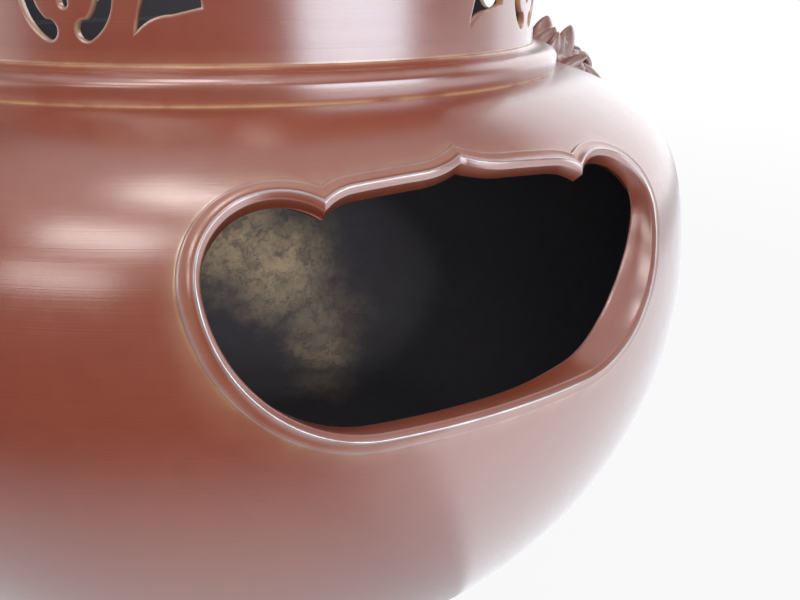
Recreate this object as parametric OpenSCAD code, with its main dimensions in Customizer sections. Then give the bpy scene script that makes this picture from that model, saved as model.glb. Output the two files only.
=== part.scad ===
// Bronze furo: a tea-room brazier with a cusped fire window, a pierced collar, mask lugs and swinging rings
// Millimetres, +Z up; the origin is on the floor under the middle of the bowl and the fire window faces -Y

/* [Bowl] */
// Diameter at the widest line of the belly
bowl_d = 330; // [322:1:338]
// Height of the neck ledge above the floor
neck_z = 238; // [232:1:248]
// Drop from the neck ledge to the underside of the base
bowl_depth = 192; // [186:1:196]
// Thickness of the cast wall
wall = 5; // [4.5:0.1:5.5]
// Thickness of the flat base
base_t = 8; // [7:0.5:9]
// Profile radius below the widest line
lower_r = 140; // [136:1:144]
// Profile radius just above the widest line
upper_r = 130; // [126:1:134]
// Profile radius where the shoulder turns in
shoulder_r = 40; // [38:1:42]
// Profile radius of the crown of the shoulder
crown_r = 60; // [58:1:62]

/* [Neck] */
// Outer diameter of the collar wall
collar_d = 213; // [209:1:217]
// Radius of the half-round bead round the neck
bead_r = 4.8; // [4.4:0.1:5.2]
// Width of the ledge the collar stands on
ledge_w = 6.5; // [6:0.1:7]
// Distance of the bead's middle outside the collar wall
bead_out = 4.1; // [3.8:0.1:4.4]
// Height of the ledge above the crown of the shoulder
neck_rise = 8.8; // [8.4:0.1:9.2]

/* [Collar] */
// Height of the collar above the ledge
collar_h = 41; // [39:1:46]
// Thickness of the pierced collar wall
collar_wall = 2.2; // [2:0.1:2.6]
// Thickness of the collar's foot ring on the ledge
foot_t = 3; // [2.5:0.1:3.5]
// Depth of the spigot that drops into the neck
spigot_h = 8; // [6:0.5:10]
// Thickness of the spigot
spigot_t = 3; // [2.5:0.1:3.5]
// Height of the inward kettle rest at the rim
rest_h = 5; // [4:0.5:6]
// Width of the inward kettle rest
rest_w = 5.8; // [5:0.1:6.4]
// Radius of the half-round roll outside the rim
roll_r = 2.5; // [2:0.1:3]

/* [Openwork] */
// Angle from the window's middle to the openwork panel on either side of it
panel_angle = 41; // [40:0.5:44]
// Turn of the collar and its openwork from the window's middle
collar_turn = -2.7; // [-6:0.1:6]
// Outer radius of the ring of slots
medal_r = 13.2; // [12.6:0.1:13.6]
// Width of the ring slots
slot_w = 4.3; // [4:0.1:4.6]
// Height of the ring's middle above the ledge
medal_z = 17.5; // [17.2:0.1:18.6]
// Half width of the stems that hold the middle of the ring
stem_w = 3; // [2.6:0.1:3.4]
// Radius of the bulb at each slot end
bulb_r = 2.5; // [2.3:0.1:2.6]
// Width of the slit in the middle of the ring
slit_w = 2.4; // [2:0.1:2.8]
// Length of the slit in the middle of the ring
slit_h = 8; // [7:0.5:9]
// Angle from the ring to the leaf on its right
leaf_right = 14.3; // [13.9:0.1:14.8]
// Angle from the ring to the leaf on its left
leaf_left = 16.6; // [16:0.1:17]
// Radius of the round holes in the sides and back of the collar
hole_r = 8; // [7.5:0.1:8.5]
// Height of the round holes' middles above the ledge
hole_z = 17.3; // [17:0.1:18]
// Angle from the window's middle to the round hole over either lug
side_hole = 87.2; // [86:0.1:90]
// Angle from the window's middle round the right to the first hole at the back
back_hole = 171.7; // [168:0.1:174]
// Angle between the two holes at the back
back_pitch = 32; // [30:0.5:34]

/* [Window] */
// Half width of the opening
win_half_w = 64.8; // [63:0.1:66]
// Drop from the neck ledge to the sill of the opening
win_bottom = 75.4; // [74:0.1:77]
// Radius of the lower corners
corner_r = 34.5; // [33:0.1:36]
// Tilt of the cut through the upper edge, close to square with the shoulder there
hood_tilt = 45; // [44:0.5:46]
// Place of the lobe tops along the tilted cut, measured from the neck ledge
lobe_drop = 116.5; // [116:0.1:117]
// Radius of the two upper lobes
lobe_r = 15.6; // [15.2:0.1:15.8]
// Depth of the top edge below the lobes
top_drop = 3.3; // [3:0.1:3.6]
// Distance from the middle at which the top edge turns down to the cusp
cusp_turn = 28.5; // [28:0.1:29]
// Radius with which the top edge turns down to the cusp
cusp_r = 12.9; // [12.5:0.1:13.5]
// Distance from the middle at which the top edge turns up to the peak
peak_turn = 12.3; // [11.8:0.1:12.8]
// Radius with which the top edge turns up to the peak
peak_r = 25.2; // [24:0.1:26.5]
// Width of the frame round the opening
band_w = 5; // [4.5:0.1:5.5]
// Width of the raised lip along the opening
lip_w = 2.2; // [1.8:0.1:2.6]
// Height of the frame above the belly
band_rise = 1.1; // [0.9:0.1:1.3]
// Height of the lip above the belly
lip_rise = 1.6; // [1.4:0.1:2]

/* [Lugs] */
// Slope angle of the shoulder where each mask lug sits
lug_angle = 54; // [53.5:0.5:56]
// Radius of the mask's dome
mask_r = 26; // [25.5:0.5:26.5]
// Depth of the dome's middle under the shoulder surface
mask_sink = 17; // [16.5:0.5:17.5]
// Radius of the two cheeks of the pad under the dome
pad_r = 18; // [17.8:0.1:18.5]
// Distance of each cheek's middle from the middle of the mask
pad_x = 4.6; // [4.2:0.1:5]
// Distance of the cheeks above the middle of the mask
pad_y = 1.3; // [1:0.1:1.6]
// Height of the pad above the shoulder
pad_t = 2; // [1.8:0.1:2.5]
// Drop from the middle of the mask to the ring bore
muzzle_drop = 14; // [13.5:0.1:14.5]
// Height of the ring bore above the shoulder
muzzle_rise = 13; // [12.5:0.1:13.5]
// Radius of the muzzle round the ring bore
muzzle_r = 7.5; // [7:0.1:8]
// Length of the muzzle along the ring bore
muzzle_l = 11; // [10.5:0.1:11.5]
// Length of the mane locks
lock_l = 26; // [25:0.5:27]
// Width of the mane locks
lock_w = 12; // [11:0.5:13]
// Thickness of the mane locks
lock_t = 5; // [4.5:0.1:5.5]
// Thickness of the crest, the lock in the middle of the mane
crest_t = 9; // [8.5:0.1:9.5]
// Radius of the eyes
eye_r = 3.6; // [3.3:0.1:3.9]

/* [Rings] */
// Radius of the ring to the middle of its bar
ring_r = 24; // [23.5:0.1:24.5]
// Radius of the ring's bar
bar_r = 3; // [2.8:0.1:3.2]
// Gap left between a hanging ring and the belly it leans on
rest_gap = 0.4; // [0.3:0.05:0.6]
// Room round the bar in the muzzle bore
ring_gap = 1; // [0.9:0.05:1.2]

/* [Legs] */
// Distance of each leg from the middle
leg_pitch = 92; // [90:1:94]
// Radius of the leg at its waist
leg_waist = 9; // [8.5:0.1:10]
// Height of the waist above the floor
waist_z = 24; // [22:0.5:26]
// Profile radius of the waisted leg
leg_curve = 38; // [36:1:42]
// Greatest radius of the leg under the bowl
leg_top_r = 20; // [19:0.5:21]
// Chamfer at the sole
sole_c = 2; // [1:0.5:3]
// Depth of the pocket in the sole that hides the screw head
leg_pocket = 10; // [9:0.5:11]

/* [Fasteners] */
// Radius of the leg screws
leg_screw_r = 3; // [2.7:0.1:3.3]
// Length of a leg screw inside the base of the bowl
leg_screw_l = 5.5; // [4.5:0.1:5.8]
// Radius of the lug screws
lug_screw_r = 2.5; // [2.2:0.1:2.8]
// Length of a lug screw inside the mask
lug_screw_l = 5; // [4:0.5:6]
// Distance of the lug screws from the middle of the mask
lug_screw_x = 8; // [7.5:0.5:8.5]
// Distance of the lug screws above the middle of the mask
lug_screw_y = 6; // [5.5:0.5:6.5]
// Thickness of the washers
washer_t = 1.4; // [1.2:0.1:1.6]

/* [Fits] */
// Gap between pieces that are seated on one another
seat_gap = 0.06; // [0.04:0.01:0.1]
// Radial gap between the spigot and the neck
spigot_gap = 0.05; // [0.03:0.01:0.1]
// Radial gap round the screws
screw_gap = 0.05; // [0.03:0.01:0.1]

/* [Hidden] */
$fn = 180;
bronze = [0.45, 0.27, 0.21];
iron = [0.24, 0.23, 0.23];
// Overrun of cutting tools past the faces they cut
cut = 20;

function dir(a) = [cos(a), sin(a)];

bowl_r = bowl_d / 2;
collar_r = collar_d / 2;
// Slopes at which the profile changes radius: sides of whole-number triangles, so the arcs meet exactly
shoulder_way = [0.96, 0.28];
crown_way = [0.6, 0.8];
crown_top = (upper_r - shoulder_r) * shoulder_way.y - (crown_r - shoulder_r) * crown_way.y + crown_r;
belly_z = neck_z - neck_rise - crown_top;
base_z = neck_z - bowl_depth;
neck_bore = collar_r - ledge_w;
// The bead stands a little above the ledge so that the two meet in a clean edge
bead_rise = 0.2;
bead_c = [collar_r + bead_out, neck_z + bead_rise - bead_r];
// Drop of the rim roll below the rim, for the same reason
roll_drop = 0.2;

// Middles of the four arcs of the outer profile, each tangent to the one before
low_c = [bowl_r - lower_r, belly_z];
up_c = [bowl_r - upper_r, belly_z];
sh_c = up_c + (upper_r - shoulder_r) * shoulder_way;
crown_c = sh_c - (crown_r - shoulder_r) * crown_way;

// Set-back of a sector's tip behind its middle, so that neighbours overlap inside and meet only on the outline
tip_back = 4;

// A sector of a disc between two directions
module sector(c, r, from, to) {
    tip = c - tip_back * (from + to);
    intersection() {
        translate(c) circle(r);
        polygon([tip, 2 * (c + r * from) - tip, 2 * (c + r * to) - tip]);
    }
}

// Half profile of the bowl above its widest line, inset square to the surface
module crown_outline(inset) {
    top_z = crown_c.y + crown_r - inset;
    sector(up_c, upper_r - inset, [1, 0], shoulder_way);
    sector(sh_c, shoulder_r - inset, shoulder_way, crown_way);
    sector(crown_c, crown_r - inset, crown_way, [0, 1]);
    translate([0, belly_z]) square([crown_c.x, top_z - belly_z]);
}

// Half profile of the whole bowl, inset square to the surface, standing on the given floor level
module bowl_outline(inset, floor_z) {
    intersection() {
        translate(low_c) circle(lower_r - inset);
        translate([low_c.x, floor_z]) square([bowl_d, belly_z - floor_z]);
    }
    translate([0, floor_z]) square([low_c.x, belly_z - floor_z]);
    crown_outline(inset);
}

// Slope at which the inside of the wall turns into the floor in a tighter arc
heel_way = [0.8, -0.6];
floor_in = base_z + base_t;
hollow_r = lower_r - wall;
heel_r = (belly_z + hollow_r * heel_way.y - floor_in) / (1 + heel_way.y);
heel_c = low_c + (hollow_r - heel_r) * heel_way;

// Half profile of the hollow inside the bowl, with its floor running up into the wall
module hollow_outline() {
    sector(heel_c, heel_r, [0, -1], heel_way);
    sector(low_c, hollow_r, heel_way, [1, 0]);
    translate([0, floor_in]) square([heel_c.x, belly_z - floor_in]);
    crown_outline(wall);
}

// The bowl as a solid body, inset square to its surface
module bowl_body(inset, floor_z) {
    rotate_extrude() bowl_outline(inset, floor_z);
}

// Window outline: sides, corners and sill, seen from the front, grown by g
module sill_outline(g) {
    side = win_half_w + g;
    grown = corner_r + g;
    corner_x = win_half_w - corner_r;
    corner_y = corner_r - win_bottom;
    translate([-side, corner_y]) square([2 * side, -corner_y]);
    translate([-corner_x, corner_y - grown]) square([2 * corner_x, grown]);
    intersection() {
        translate([corner_x, corner_y]) circle(grown);
        translate([corner_x, corner_y - 2 * grown]) square(2 * grown);
    }
    intersection() {
        translate([-corner_x, corner_y]) circle(grown);
        translate([-corner_x - 2 * grown, corner_y - 2 * grown]) square(2 * grown);
    }
}

// Window outline: lobes, cusps and peak, seen along the tilted cut, grown by g
module hood_outline(g) {
    side = win_half_w + g;
    lobe = lobe_r + g;
    lobe_x = win_half_w - lobe_r;
    turn = cusp_r + g;
    top = g - top_drop;
    translate([-side, -lobe_drop]) square([2 * side, lobe_drop - lobe_r]);
    translate([-cusp_turn, -2 * lobe_r]) square([2 * cusp_turn, 2 * lobe_r + top]);
    for (m = [-1, 1]) {
        intersection() {
            translate([m * lobe_x, -lobe_r]) circle(lobe);
            translate([m * lobe_x - 2 * lobe, -lobe_r]) square([4 * lobe, 2 * lobe]);
        }
        intersection() {
            translate([m * cusp_turn, -top_drop - cusp_r]) circle(turn);
            translate([m * (cusp_turn + turn) - turn, -top_drop - cusp_r]) square(2 * turn);
        }
    }
    difference() {
        translate([-peak_turn, -lobe_r]) square([2 * peak_turn, 2 * lobe_r]);
        translate([peak_turn, peak_r - top_drop]) circle(peak_r - g);
        translate([-peak_turn, peak_r - top_drop]) circle(peak_r - g);
    }
}

// The solid removed by the fire window, grown by g all round
module window_cut(g) {
    intersection() {
        translate([0, -bowl_r / 2, neck_z])
            rotate([90, 0, 0]) linear_extrude(bowl_r) sill_outline(g);
        translate([0, 0, neck_z]) rotate([90 - hood_tilt, 0, 0])
            translate([0, -lobe_drop, 0]) linear_extrude(bowl_r) hood_outline(g);
    }
}

// Seat of the right-hand mask: x along the belly, y up the shoulder, z out of it
lug_seat = crown_c + crown_r * dir(lug_angle);
module at_lug() {
    translate([lug_seat.x, 0, lug_seat.y]) rotate([90 - lug_angle, 0, 90]) children();
}

// The two lug screw places of one mask
module at_lug_screws() {
    for (x = [-lug_screw_x, lug_screw_x]) {
        at_lug() translate([x, lug_screw_y, 0]) children();
    }
}

// Both sides, the left one turned half way round
module both_sides() {
    for (a = [0, 180]) {
        rotate([0, 0, a]) children();
    }
}

// The three leg places, the first under the fire window
leg_angles = [0, 120, 240];
module at_legs() {
    for (a = leg_angles) {
        rotate([0, 0, a]) translate([0, -leg_pitch, 0]) children();
    }
}

// Washer and screw head sizes, as multiples of the screw radius
lug_washer_r = 2.4 * lug_screw_r;
leg_washer_r = 2.2 * leg_screw_r;
head_k = 1.75;
head_h_k = 1.4;
// Room between a washer and its screw, and past the end of a screw in its blind hole
washer_room = 0.3;
end_room = 1;
// Flat faced inside the wall for the washer of a lug screw, and the room round a sunk washer
spot_z = -wall;
spot_room = 0.5;

module bowl() {
    color(bronze)
    difference() {
        union() {
            rotate_extrude() {
                bowl_outline(0, base_z);
                translate([neck_bore, neck_z - 2 * bead_r]) square([bead_c.x - neck_bore, 2 * bead_r]);
                translate(bead_c) circle(bead_r);
            }
            intersection() {
                window_cut(band_w);
                bowl_body(-band_rise, base_z);
            }
            intersection() {
                window_cut(lip_w);
                bowl_body(-lip_rise, base_z);
            }
        }
        rotate_extrude() {
            hollow_outline();
            translate([0, belly_z]) square([neck_bore, neck_z - belly_z + cut]);
        }
        window_cut(0);
        both_sides() at_lug_screws() {
            translate([0, 0, -cut]) cylinder(r = lug_screw_r + screw_gap, h = 2 * cut);
            translate([0, 0, spot_z - cut]) cylinder(r = lug_washer_r + spot_room, h = cut);
        }
        at_legs() translate([0, 0, base_z - cut])
            cylinder(r = leg_screw_r + screw_gap, h = cut + leg_screw_l + end_room);
    }
}

// The leaf opening's edges, measured from the leaf's middle at ledge height
leaf_back_c = [50.8, -6.6];
leaf_back_r = 61;
leaf_front_c = [-8.4, 13.9];
leaf_front_r = 16.7;
leaf_hump_c = [0.9, -0.4];
leaf_hump_r = 12.5;
leaf_tail = [12, 14.5];
// Depth by which the tail's cut starts below the top of the hump
leaf_lap = 0.1;

// One leaf opening: a tip at the lower left, a humped lower edge and a point at the right
module leaf_outline() {
    hump_top = leaf_hump_c.y + leaf_hump_r;
    difference() {
        intersection() {
            translate(leaf_back_c) circle(leaf_back_r);
            translate(leaf_front_c) circle(leaf_front_r);
        }
        translate(leaf_hump_c) circle(leaf_hump_r);
        polygon([[leaf_hump_c.x, 0], [leaf_tail.x, 0], leaf_tail, [leaf_hump_c.x, hump_top - leaf_lap]]);
    }
}

// Distance the slot bulbs keep inside the ring's edge, and their lap over the stems
bulb_in = 0.15;
bulb_lap = 0.2;

// The ring of slots round a stemmed middle with a slit in it
module medal_outline() {
    mid_r = medal_r - slot_w;
    bulb_reach = medal_r - bulb_r - bulb_in;
    bulb_x = stem_w + bulb_r - bulb_lap;
    bulb_y = sqrt(bulb_reach * bulb_reach - bulb_x * bulb_x);
    translate([0, medal_z]) {
        difference() {
            circle(medal_r);
            circle(mid_r);
            translate([-stem_w, -2 * medal_r]) square([2 * stem_w, 4 * medal_r]);
        }
        for (x = [-bulb_x, bulb_x]) {
            for (y = [-bulb_y, bulb_y]) {
                translate([x, y]) circle(bulb_r);
            }
        }
        translate([-slit_w / 2, -slit_h / 2]) square([slit_w, slit_h]);
    }
}

// A cut through the collar wall at an angle from the window's middle
module collar_cut(a) {
    rotate([0, 0, a]) translate([0, cut / 2 - collar_r, neck_z])
        rotate([90, 0, 0]) linear_extrude(cut) children();
}

module collar() {
    top_z = neck_z + collar_h;
    inner_r = collar_r - collar_wall;
    mouth_r = inner_r - rest_w;
    spigot_r = neck_bore - spigot_gap;
    color(bronze)
    difference() {
        rotate_extrude() {
            translate([inner_r, neck_z]) square([collar_wall, collar_h]);
            translate([spigot_r - spigot_t, neck_z]) square([collar_r - spigot_r + spigot_t, foot_t]);
            translate([spigot_r - spigot_t, neck_z - spigot_h]) square([spigot_t, spigot_h + foot_t]);
            translate([mouth_r, top_z - rest_h]) square([collar_r - mouth_r, rest_h]);
            translate([collar_r, top_z - roll_r - roll_drop]) circle(roll_r);
        }
        for (a = [-panel_angle, panel_angle]) {
            collar_cut(collar_turn + a) medal_outline();
            collar_cut(collar_turn + a + leaf_right) leaf_outline();
            collar_cut(collar_turn + a - leaf_left) leaf_outline();
        }
        for (a = [-side_hole, side_hole, back_hole, back_hole + back_pitch]) {
            collar_cut(collar_turn + a) translate([0, hole_z]) circle(hole_r);
        }
    }
}

// A pointed mane lock standing on its middle, flat across x
module lock(t) {
    r = (lock_l * lock_l + lock_w * lock_w) / (4 * lock_w);
    rotate([90, 0, 90]) translate([0, 0, -t / 2]) linear_extrude(t) intersection() {
        translate([r - lock_w / 2, 0]) circle(r);
        translate([lock_w / 2 - r, 0]) circle(r);
    }
}

// Place of one eye on the mask
eye_at = [8.2, 0, 10];
// Place and tilt of the crest
crest_at = [0, 10.5, 9];
crest_tilt = -12;
// Place and turn of each other mane lock on one half of the mask
locks = [
    [[9.4, 3.6, 9.2], [-14, 0, -12]],
    [[15.5, 13, 0], [-26, 0, -34]],
    [[17.5, 5, 1], [-12, 28, -70]],
    [[17, -6, -2], [10, 30, -110]]
];

// A lion-like mask: dome, brow, eyes, cheeks, muzzle and mane
module mask() {
    for (x = [-pad_x, pad_x]) {
        translate([x, pad_y, -mask_sink / 2]) cylinder(r = pad_r, h = mask_sink / 2 + pad_t);
    }
    intersection() {
        translate([0, 0, -mask_sink]) sphere(mask_r);
        translate([-mask_r, -mask_r, pad_t]) cube([2 * mask_r, 2 * mask_r, mask_r]);
    }
    translate([-muzzle_l / 2, -muzzle_drop, muzzle_rise]) rotate([0, 90, 0])
        cylinder(r = muzzle_r, h = muzzle_l);
    translate([-muzzle_l / 2, -muzzle_drop, 0]) cube([muzzle_l, muzzle_drop, muzzle_rise]);
    translate(crest_at) rotate([crest_tilt, 0, 0]) lock(crest_t);
    for (m = [0, 1]) {
        mirror([m, 0, 0]) {
            translate(eye_at) sphere(eye_r);
            for (k = locks) {
                translate(k[0]) rotate(k[1]) lock(lock_t);
            }
        }
    }
}

module lug() {
    color(bronze)
    difference() {
        at_lug() mask();
        at_lug() translate([-muzzle_l, -muzzle_drop, muzzle_rise]) rotate([0, 90, 0])
            cylinder(r = bar_r + ring_gap, h = 2 * muzzle_l);
        bowl_body(-seat_gap, base_z);
        at_lug_screws()
            cylinder(r = lug_screw_r + screw_gap, h = 2 * (lug_screw_l + end_room), center = true);
    }
}

module lug_right() {
    lug();
}

module lug_left() {
    rotate([0, 0, 180]) lug();
}

// Ring bore of the right-hand mask, seen from the front
pivot = lug_seat + muzzle_rise * dir(lug_angle) - muzzle_drop * dir(lug_angle + 90);
// Lean of a hanging ring: its lower end swings in until it all but touches the belly
belly_way = up_c - pivot;
ring_d = 2 * ring_r;
lower_end = upper_r + bar_r + rest_gap;
belly_far = norm(belly_way);
swing = acos((belly_far * belly_far + ring_d * ring_d - lower_end * lower_end) / (2 * belly_far * ring_d));
ring_lean = atan2(belly_way.y, belly_way.x) + swing + 90;

module swing_ring() {
    color(bronze)
    translate([pivot.x, 0, pivot.y]) rotate([0, -ring_lean, 0]) translate([0, 0, -ring_r])
        rotate([0, 90, 0]) rotate_extrude() translate([ring_r, 0]) circle(bar_r);
}

module ring_right() {
    swing_ring();
}

module ring_left() {
    rotate([0, 0, 180]) swing_ring();
}

module leg(a) {
    sole_r = leg_waist + leg_curve - sqrt(leg_curve * leg_curve - waist_z * waist_z);
    color(bronze)
    difference() {
        rotate([0, 0, a]) translate([0, -leg_pitch, 0]) rotate_extrude() difference() {
            square([leg_top_r, base_z + cut]);
            translate([leg_waist + leg_curve, waist_z]) circle(leg_curve);
            polygon([[sole_r - sole_c, 0], [sole_r - sole_c, -cut], [leg_top_r, -cut], [leg_top_r, 2 * sole_c]]);
        }
        bowl_body(-seat_gap, base_z - seat_gap);
        rotate([0, 0, a]) translate([0, -leg_pitch, -cut]) {
            cylinder(r = leg_screw_r + screw_gap, h = base_z + 2 * cut);
            cylinder(r = leg_washer_r + spot_room, h = leg_pocket + cut);
        }
    }
}

module leg_front() {
    leg(leg_angles[0]);
}

module leg_right() {
    leg(leg_angles[1]);
}

module leg_left() {
    leg(leg_angles[2]);
}

// A hexagon-headed screw with its head resting on z = 0 and its shank going up
module screw(r, l) {
    cylinder(r = r, h = l);
    translate([0, 0, -head_h_k * r]) cylinder(r = head_k * r, h = head_h_k * r, $fn = 6);
}

module washer(r, outer) {
    difference() {
        cylinder(r = outer, h = washer_t);
        translate([0, 0, -cut]) cylinder(r = r + washer_room, h = 2 * cut);
    }
}

module lug_screws() {
    color(iron)
    both_sides() at_lug_screws() translate([0, 0, spot_z - washer_t])
        screw(lug_screw_r, lug_screw_l + wall + washer_t);
}

module lug_washers() {
    color(iron)
    both_sides() at_lug_screws() translate([0, 0, spot_z - washer_t])
        washer(lug_screw_r, lug_washer_r);
}

module leg_screws() {
    color(iron)
    at_legs() translate([0, 0, leg_pocket - washer_t])
        screw(leg_screw_r, washer_t + base_z - leg_pocket + leg_screw_l);
}

module leg_washers() {
    color(iron)
    at_legs() translate([0, 0, leg_pocket - washer_t]) washer(leg_screw_r, leg_washer_r);
}

bowl();
collar();
lug_right();
lug_left();
ring_right();
ring_left();
leg_front();
leg_right();
leg_left();
lug_screws();
lug_washers();
leg_screws();
leg_washers();
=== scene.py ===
"""Looks of a bronze furo brazier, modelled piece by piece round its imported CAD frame."""

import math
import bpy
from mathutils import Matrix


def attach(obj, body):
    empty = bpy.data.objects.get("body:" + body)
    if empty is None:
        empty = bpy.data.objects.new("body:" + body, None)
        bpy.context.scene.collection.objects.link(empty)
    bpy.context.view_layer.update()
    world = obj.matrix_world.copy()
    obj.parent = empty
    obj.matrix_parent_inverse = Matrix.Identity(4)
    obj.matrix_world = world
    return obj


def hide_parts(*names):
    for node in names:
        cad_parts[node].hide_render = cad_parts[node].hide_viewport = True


bl_info = {
    "name": "Furo brazier",
    "version": (1, 0, 0),
    "blender": (4, 5, 0),
    "location": "3D View > Sidebar > Furo",
    "description": "Models a bronze tea-room brazier with a cusped fire window, a pierced collar and ring lugs",
    "category": "Add Mesh",
}

from types import SimpleNamespace

import bmesh
import bpy
from mathutils import Matrix, Vector, kdtree

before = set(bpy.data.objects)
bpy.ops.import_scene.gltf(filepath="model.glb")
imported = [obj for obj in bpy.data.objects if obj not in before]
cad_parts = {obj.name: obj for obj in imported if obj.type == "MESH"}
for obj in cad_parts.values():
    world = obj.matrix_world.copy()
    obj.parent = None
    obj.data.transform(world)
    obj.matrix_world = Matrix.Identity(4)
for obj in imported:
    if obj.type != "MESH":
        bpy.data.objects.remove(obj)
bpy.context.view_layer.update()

# Pieces are modelled in millimetres and brought to metres when they are finished
MM = 0.001
# Directions at which the bowl's profile changes radius
SHOULDER_WAY = Vector((0.96, 0.28))
CROWN_WAY = Vector((0.6, 0.8))
HEEL_WAY = Vector((0.8, -0.6))
SHOULDER_ANGLE = math.atan2(SHOULDER_WAY.y, SHOULDER_WAY.x)
CROWN_ANGLE = math.atan2(CROWN_WAY.y, CROWN_WAY.x)
# The window's patch in the turned wall: half width in columns of one degree, rows, and its ends along the profile
PATCH_COLUMNS = 32
PATCH_ROWS = 36
PATCH_LOW, PATCH_HIGH = -22.0, 84.0
# Halvings with which a line's meeting point with the wall is found
HALVINGS = 48
# Tan halo round the window's frame, by the number of the ring that leads up to it
HALO = {8: 0.03, 9: 0.09, 10: 0.17, 11: 0.25}
# The window's cut: share of the wall's thickness along the top, and what it gains downwards and to the right
CUT_TOP, CUT_LOW, CUT_RIGHT = 0.75, 0.25, 0.42
# How far the cut's back edge is drawn in at the lower right corner, and moved to the left
CUT_ROUND, CUT_LEFT = 3.0, 2.2
# Lengths over which the cut gains downwards and to the right, and height over the middle where the move begins
CUT_FALL, CUT_REACH, CUT_MOVE_FROM, CUT_MOVE_OVER = 30, 50, 15, 25
# Direction and width of the lower right corner in degrees, seen from the window's middle
CORNER_TURN, CORNER_WIDTH = -28, 25
# Depth of the rings through the cut as a share of its thickness, their spread and their rubbed edge, which carries a
# painted highlight
CUT_RINGS = ((0.0, 0.0, 0.1), (0.5, 0.0, 0.0), (0.86, 0.0, 0.0), (0.95, 0.1, 0.4), (0.99, 0.3, 0.3), (1.0, 0.7, 0.0))
# Half widths in degrees of the collar's panels with openwork and with a round hole
PANEL_HALF, HOLE_HALF = 23, 6
# Easing of the collar's turned edges
EASE = 0.6
# The two sides on which lugs and rings stand, and their turn about the axis
SIDES = (("right", 0.0), ("left", math.pi))
# How deep a mask's underside reaches into the wall
MASK_SINK = 1.5
WHITE = (1.0, 1.0, 1.0)
# Washes of clay inside the bowl, in a trail from the far wall down to the floor: middle and reach in metres, strength
WASHES = (
    ((0.036, 0.145, 0.112), 0.062, 0.85),
    ((0.060, 0.130, 0.096), 0.058, 0.90),
    ((0.072, 0.104, 0.070), 0.044, 0.60),
    ((0.066, 0.080, 0.058), 0.040, 0.65),
    ((0.050, 0.050, 0.054), 0.032, 0.45),
)
# Lumps of the sculpted mask: place, size and turn; first those in the middle, then those on either side
MIDDLE_LUMPS = (
    ((0, 2, 0), (21, 20, 9), (0, 0, 0)),
    ((0, 4, 6), (12, 13, 9), (0, 0, 0)),
    ((0, 0, 12), (4.2, 9, 5), (0.35, 0, 0)),
    ((0, -6.5, 17.0), (5.2, 3.4, 3.0), (0, 0, 0)),
    ((0, -5.0, 9.5), (6.5, 4.6, 6.5), (0, 0, 0)),
)
SIDE_LUMPS = (
    ((7.6, 5.2, 13.2), (6.2, 2.4, 3.0), (0, 0, 0.35)),
    ((7.4, 0.6, 11.4), (3.6, 3.2, 3.4), (0, 0, 0)),
    ((9.6, -6.0, 7.0), (6.0, 6.0, 6.0), (0, 0, 0)),
    ((4.2, 9.5, 8.0), (4.6, 6.2, 8.6), (0, 0, 0)),
    ((9.0, 7.0, 6.5), (5.2, 6.4, 8.4), (0, 0, 0)),
    ((3.4, -8.2, 18.0), (2.3, 2.0, 1.9), (0, 0, 0)),
    ((5.2, -17.2, 17.2), (1.5, 3.2, 1.5), (0.5, 0, 0)),
)
# Locks of the mane on either side: place, turn in degrees, thickness, width and length, and bend
LOCKS = (
    ((9.4, 3.6, 9.2), (-14, 0, -12), (7.5, 12.5, 26), 0.8),
    ((15.5, 13, 0), (-26, 0, -34), (6.5, 12.5, 26), 1.0),
    ((17.5, 5, 1), (-12, 28, -70), (6.5, 12.5, 26), 1.0),
    ((17, -6, -2), (10, 30, -110), (6.5, 12, 26), 1.0),
    ((5.6, 8.5, 5.5), (-12, 0, -6), (6, 11, 25), 0.6),
    ((12.5, 9, 4), (-18, 6, -24), (6, 9, 23), 0.8),
    ((18, -0.5, -1), (0, 26, -90), (6, 9, 22), 0.8),
)
# Area lamps: place, size, brightness and tint; all but the fill lamp beside the camera show in the metal alone
LAMPS = (
    ("overhead", (-0.34, -0.13, 1.43), (0.40, 0.22), 6.0, (1.0, 0.98, 0.94)),
    ("left_high", (-0.78, -0.465, 1.04), (0.50, 0.24), 4.5, (1.0, 0.98, 0.95)),
    ("left_low", (-1.10, -0.60, 0.64), (0.50, 0.24), 3.4, (1.0, 0.98, 0.95)),
    ("front", (0.45, -1.43, 0.35), (1.08, 0.70), 4.6, (0.72, 0.88, 1.0)),
    ("right", (1.07, 0.27, 0.56), (1.07, 1.00), 1.3, (0.90, 0.95, 1.0)),
    ("table", (0.50, -0.20, 0.008), (0.90, 1.20), 0.8, (0.88, 0.95, 1.0)),
    ("fill", (-0.30, -0.83, 0.53), (0.60, 0.60), 3.0, WHITE),
)
# Bright sides of the room: direction, and the cosines between which they set in
ROOM_SIDES = (((0.966, 0.259, 0.0), 0.62, 0.95), ((-0.87, 0.50, 0.0), 0.75, 1.0))


def length(name, words, value):
    """A length property, in metres."""
    return bpy.props.FloatProperty(name=name, description=words, default=value, unit="LENGTH", precision=5)


def angle(name, words, degrees):
    """An angle property, given in degrees."""
    return bpy.props.FloatProperty(name=name, description=words, default=math.radians(degrees), unit="ROTATION")


def colour(name, words, value):
    """A colour property."""
    return bpy.props.FloatVectorProperty(
        name=name, description=words, default=value, subtype="COLOR", size=3, min=0, max=1
    )


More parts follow.
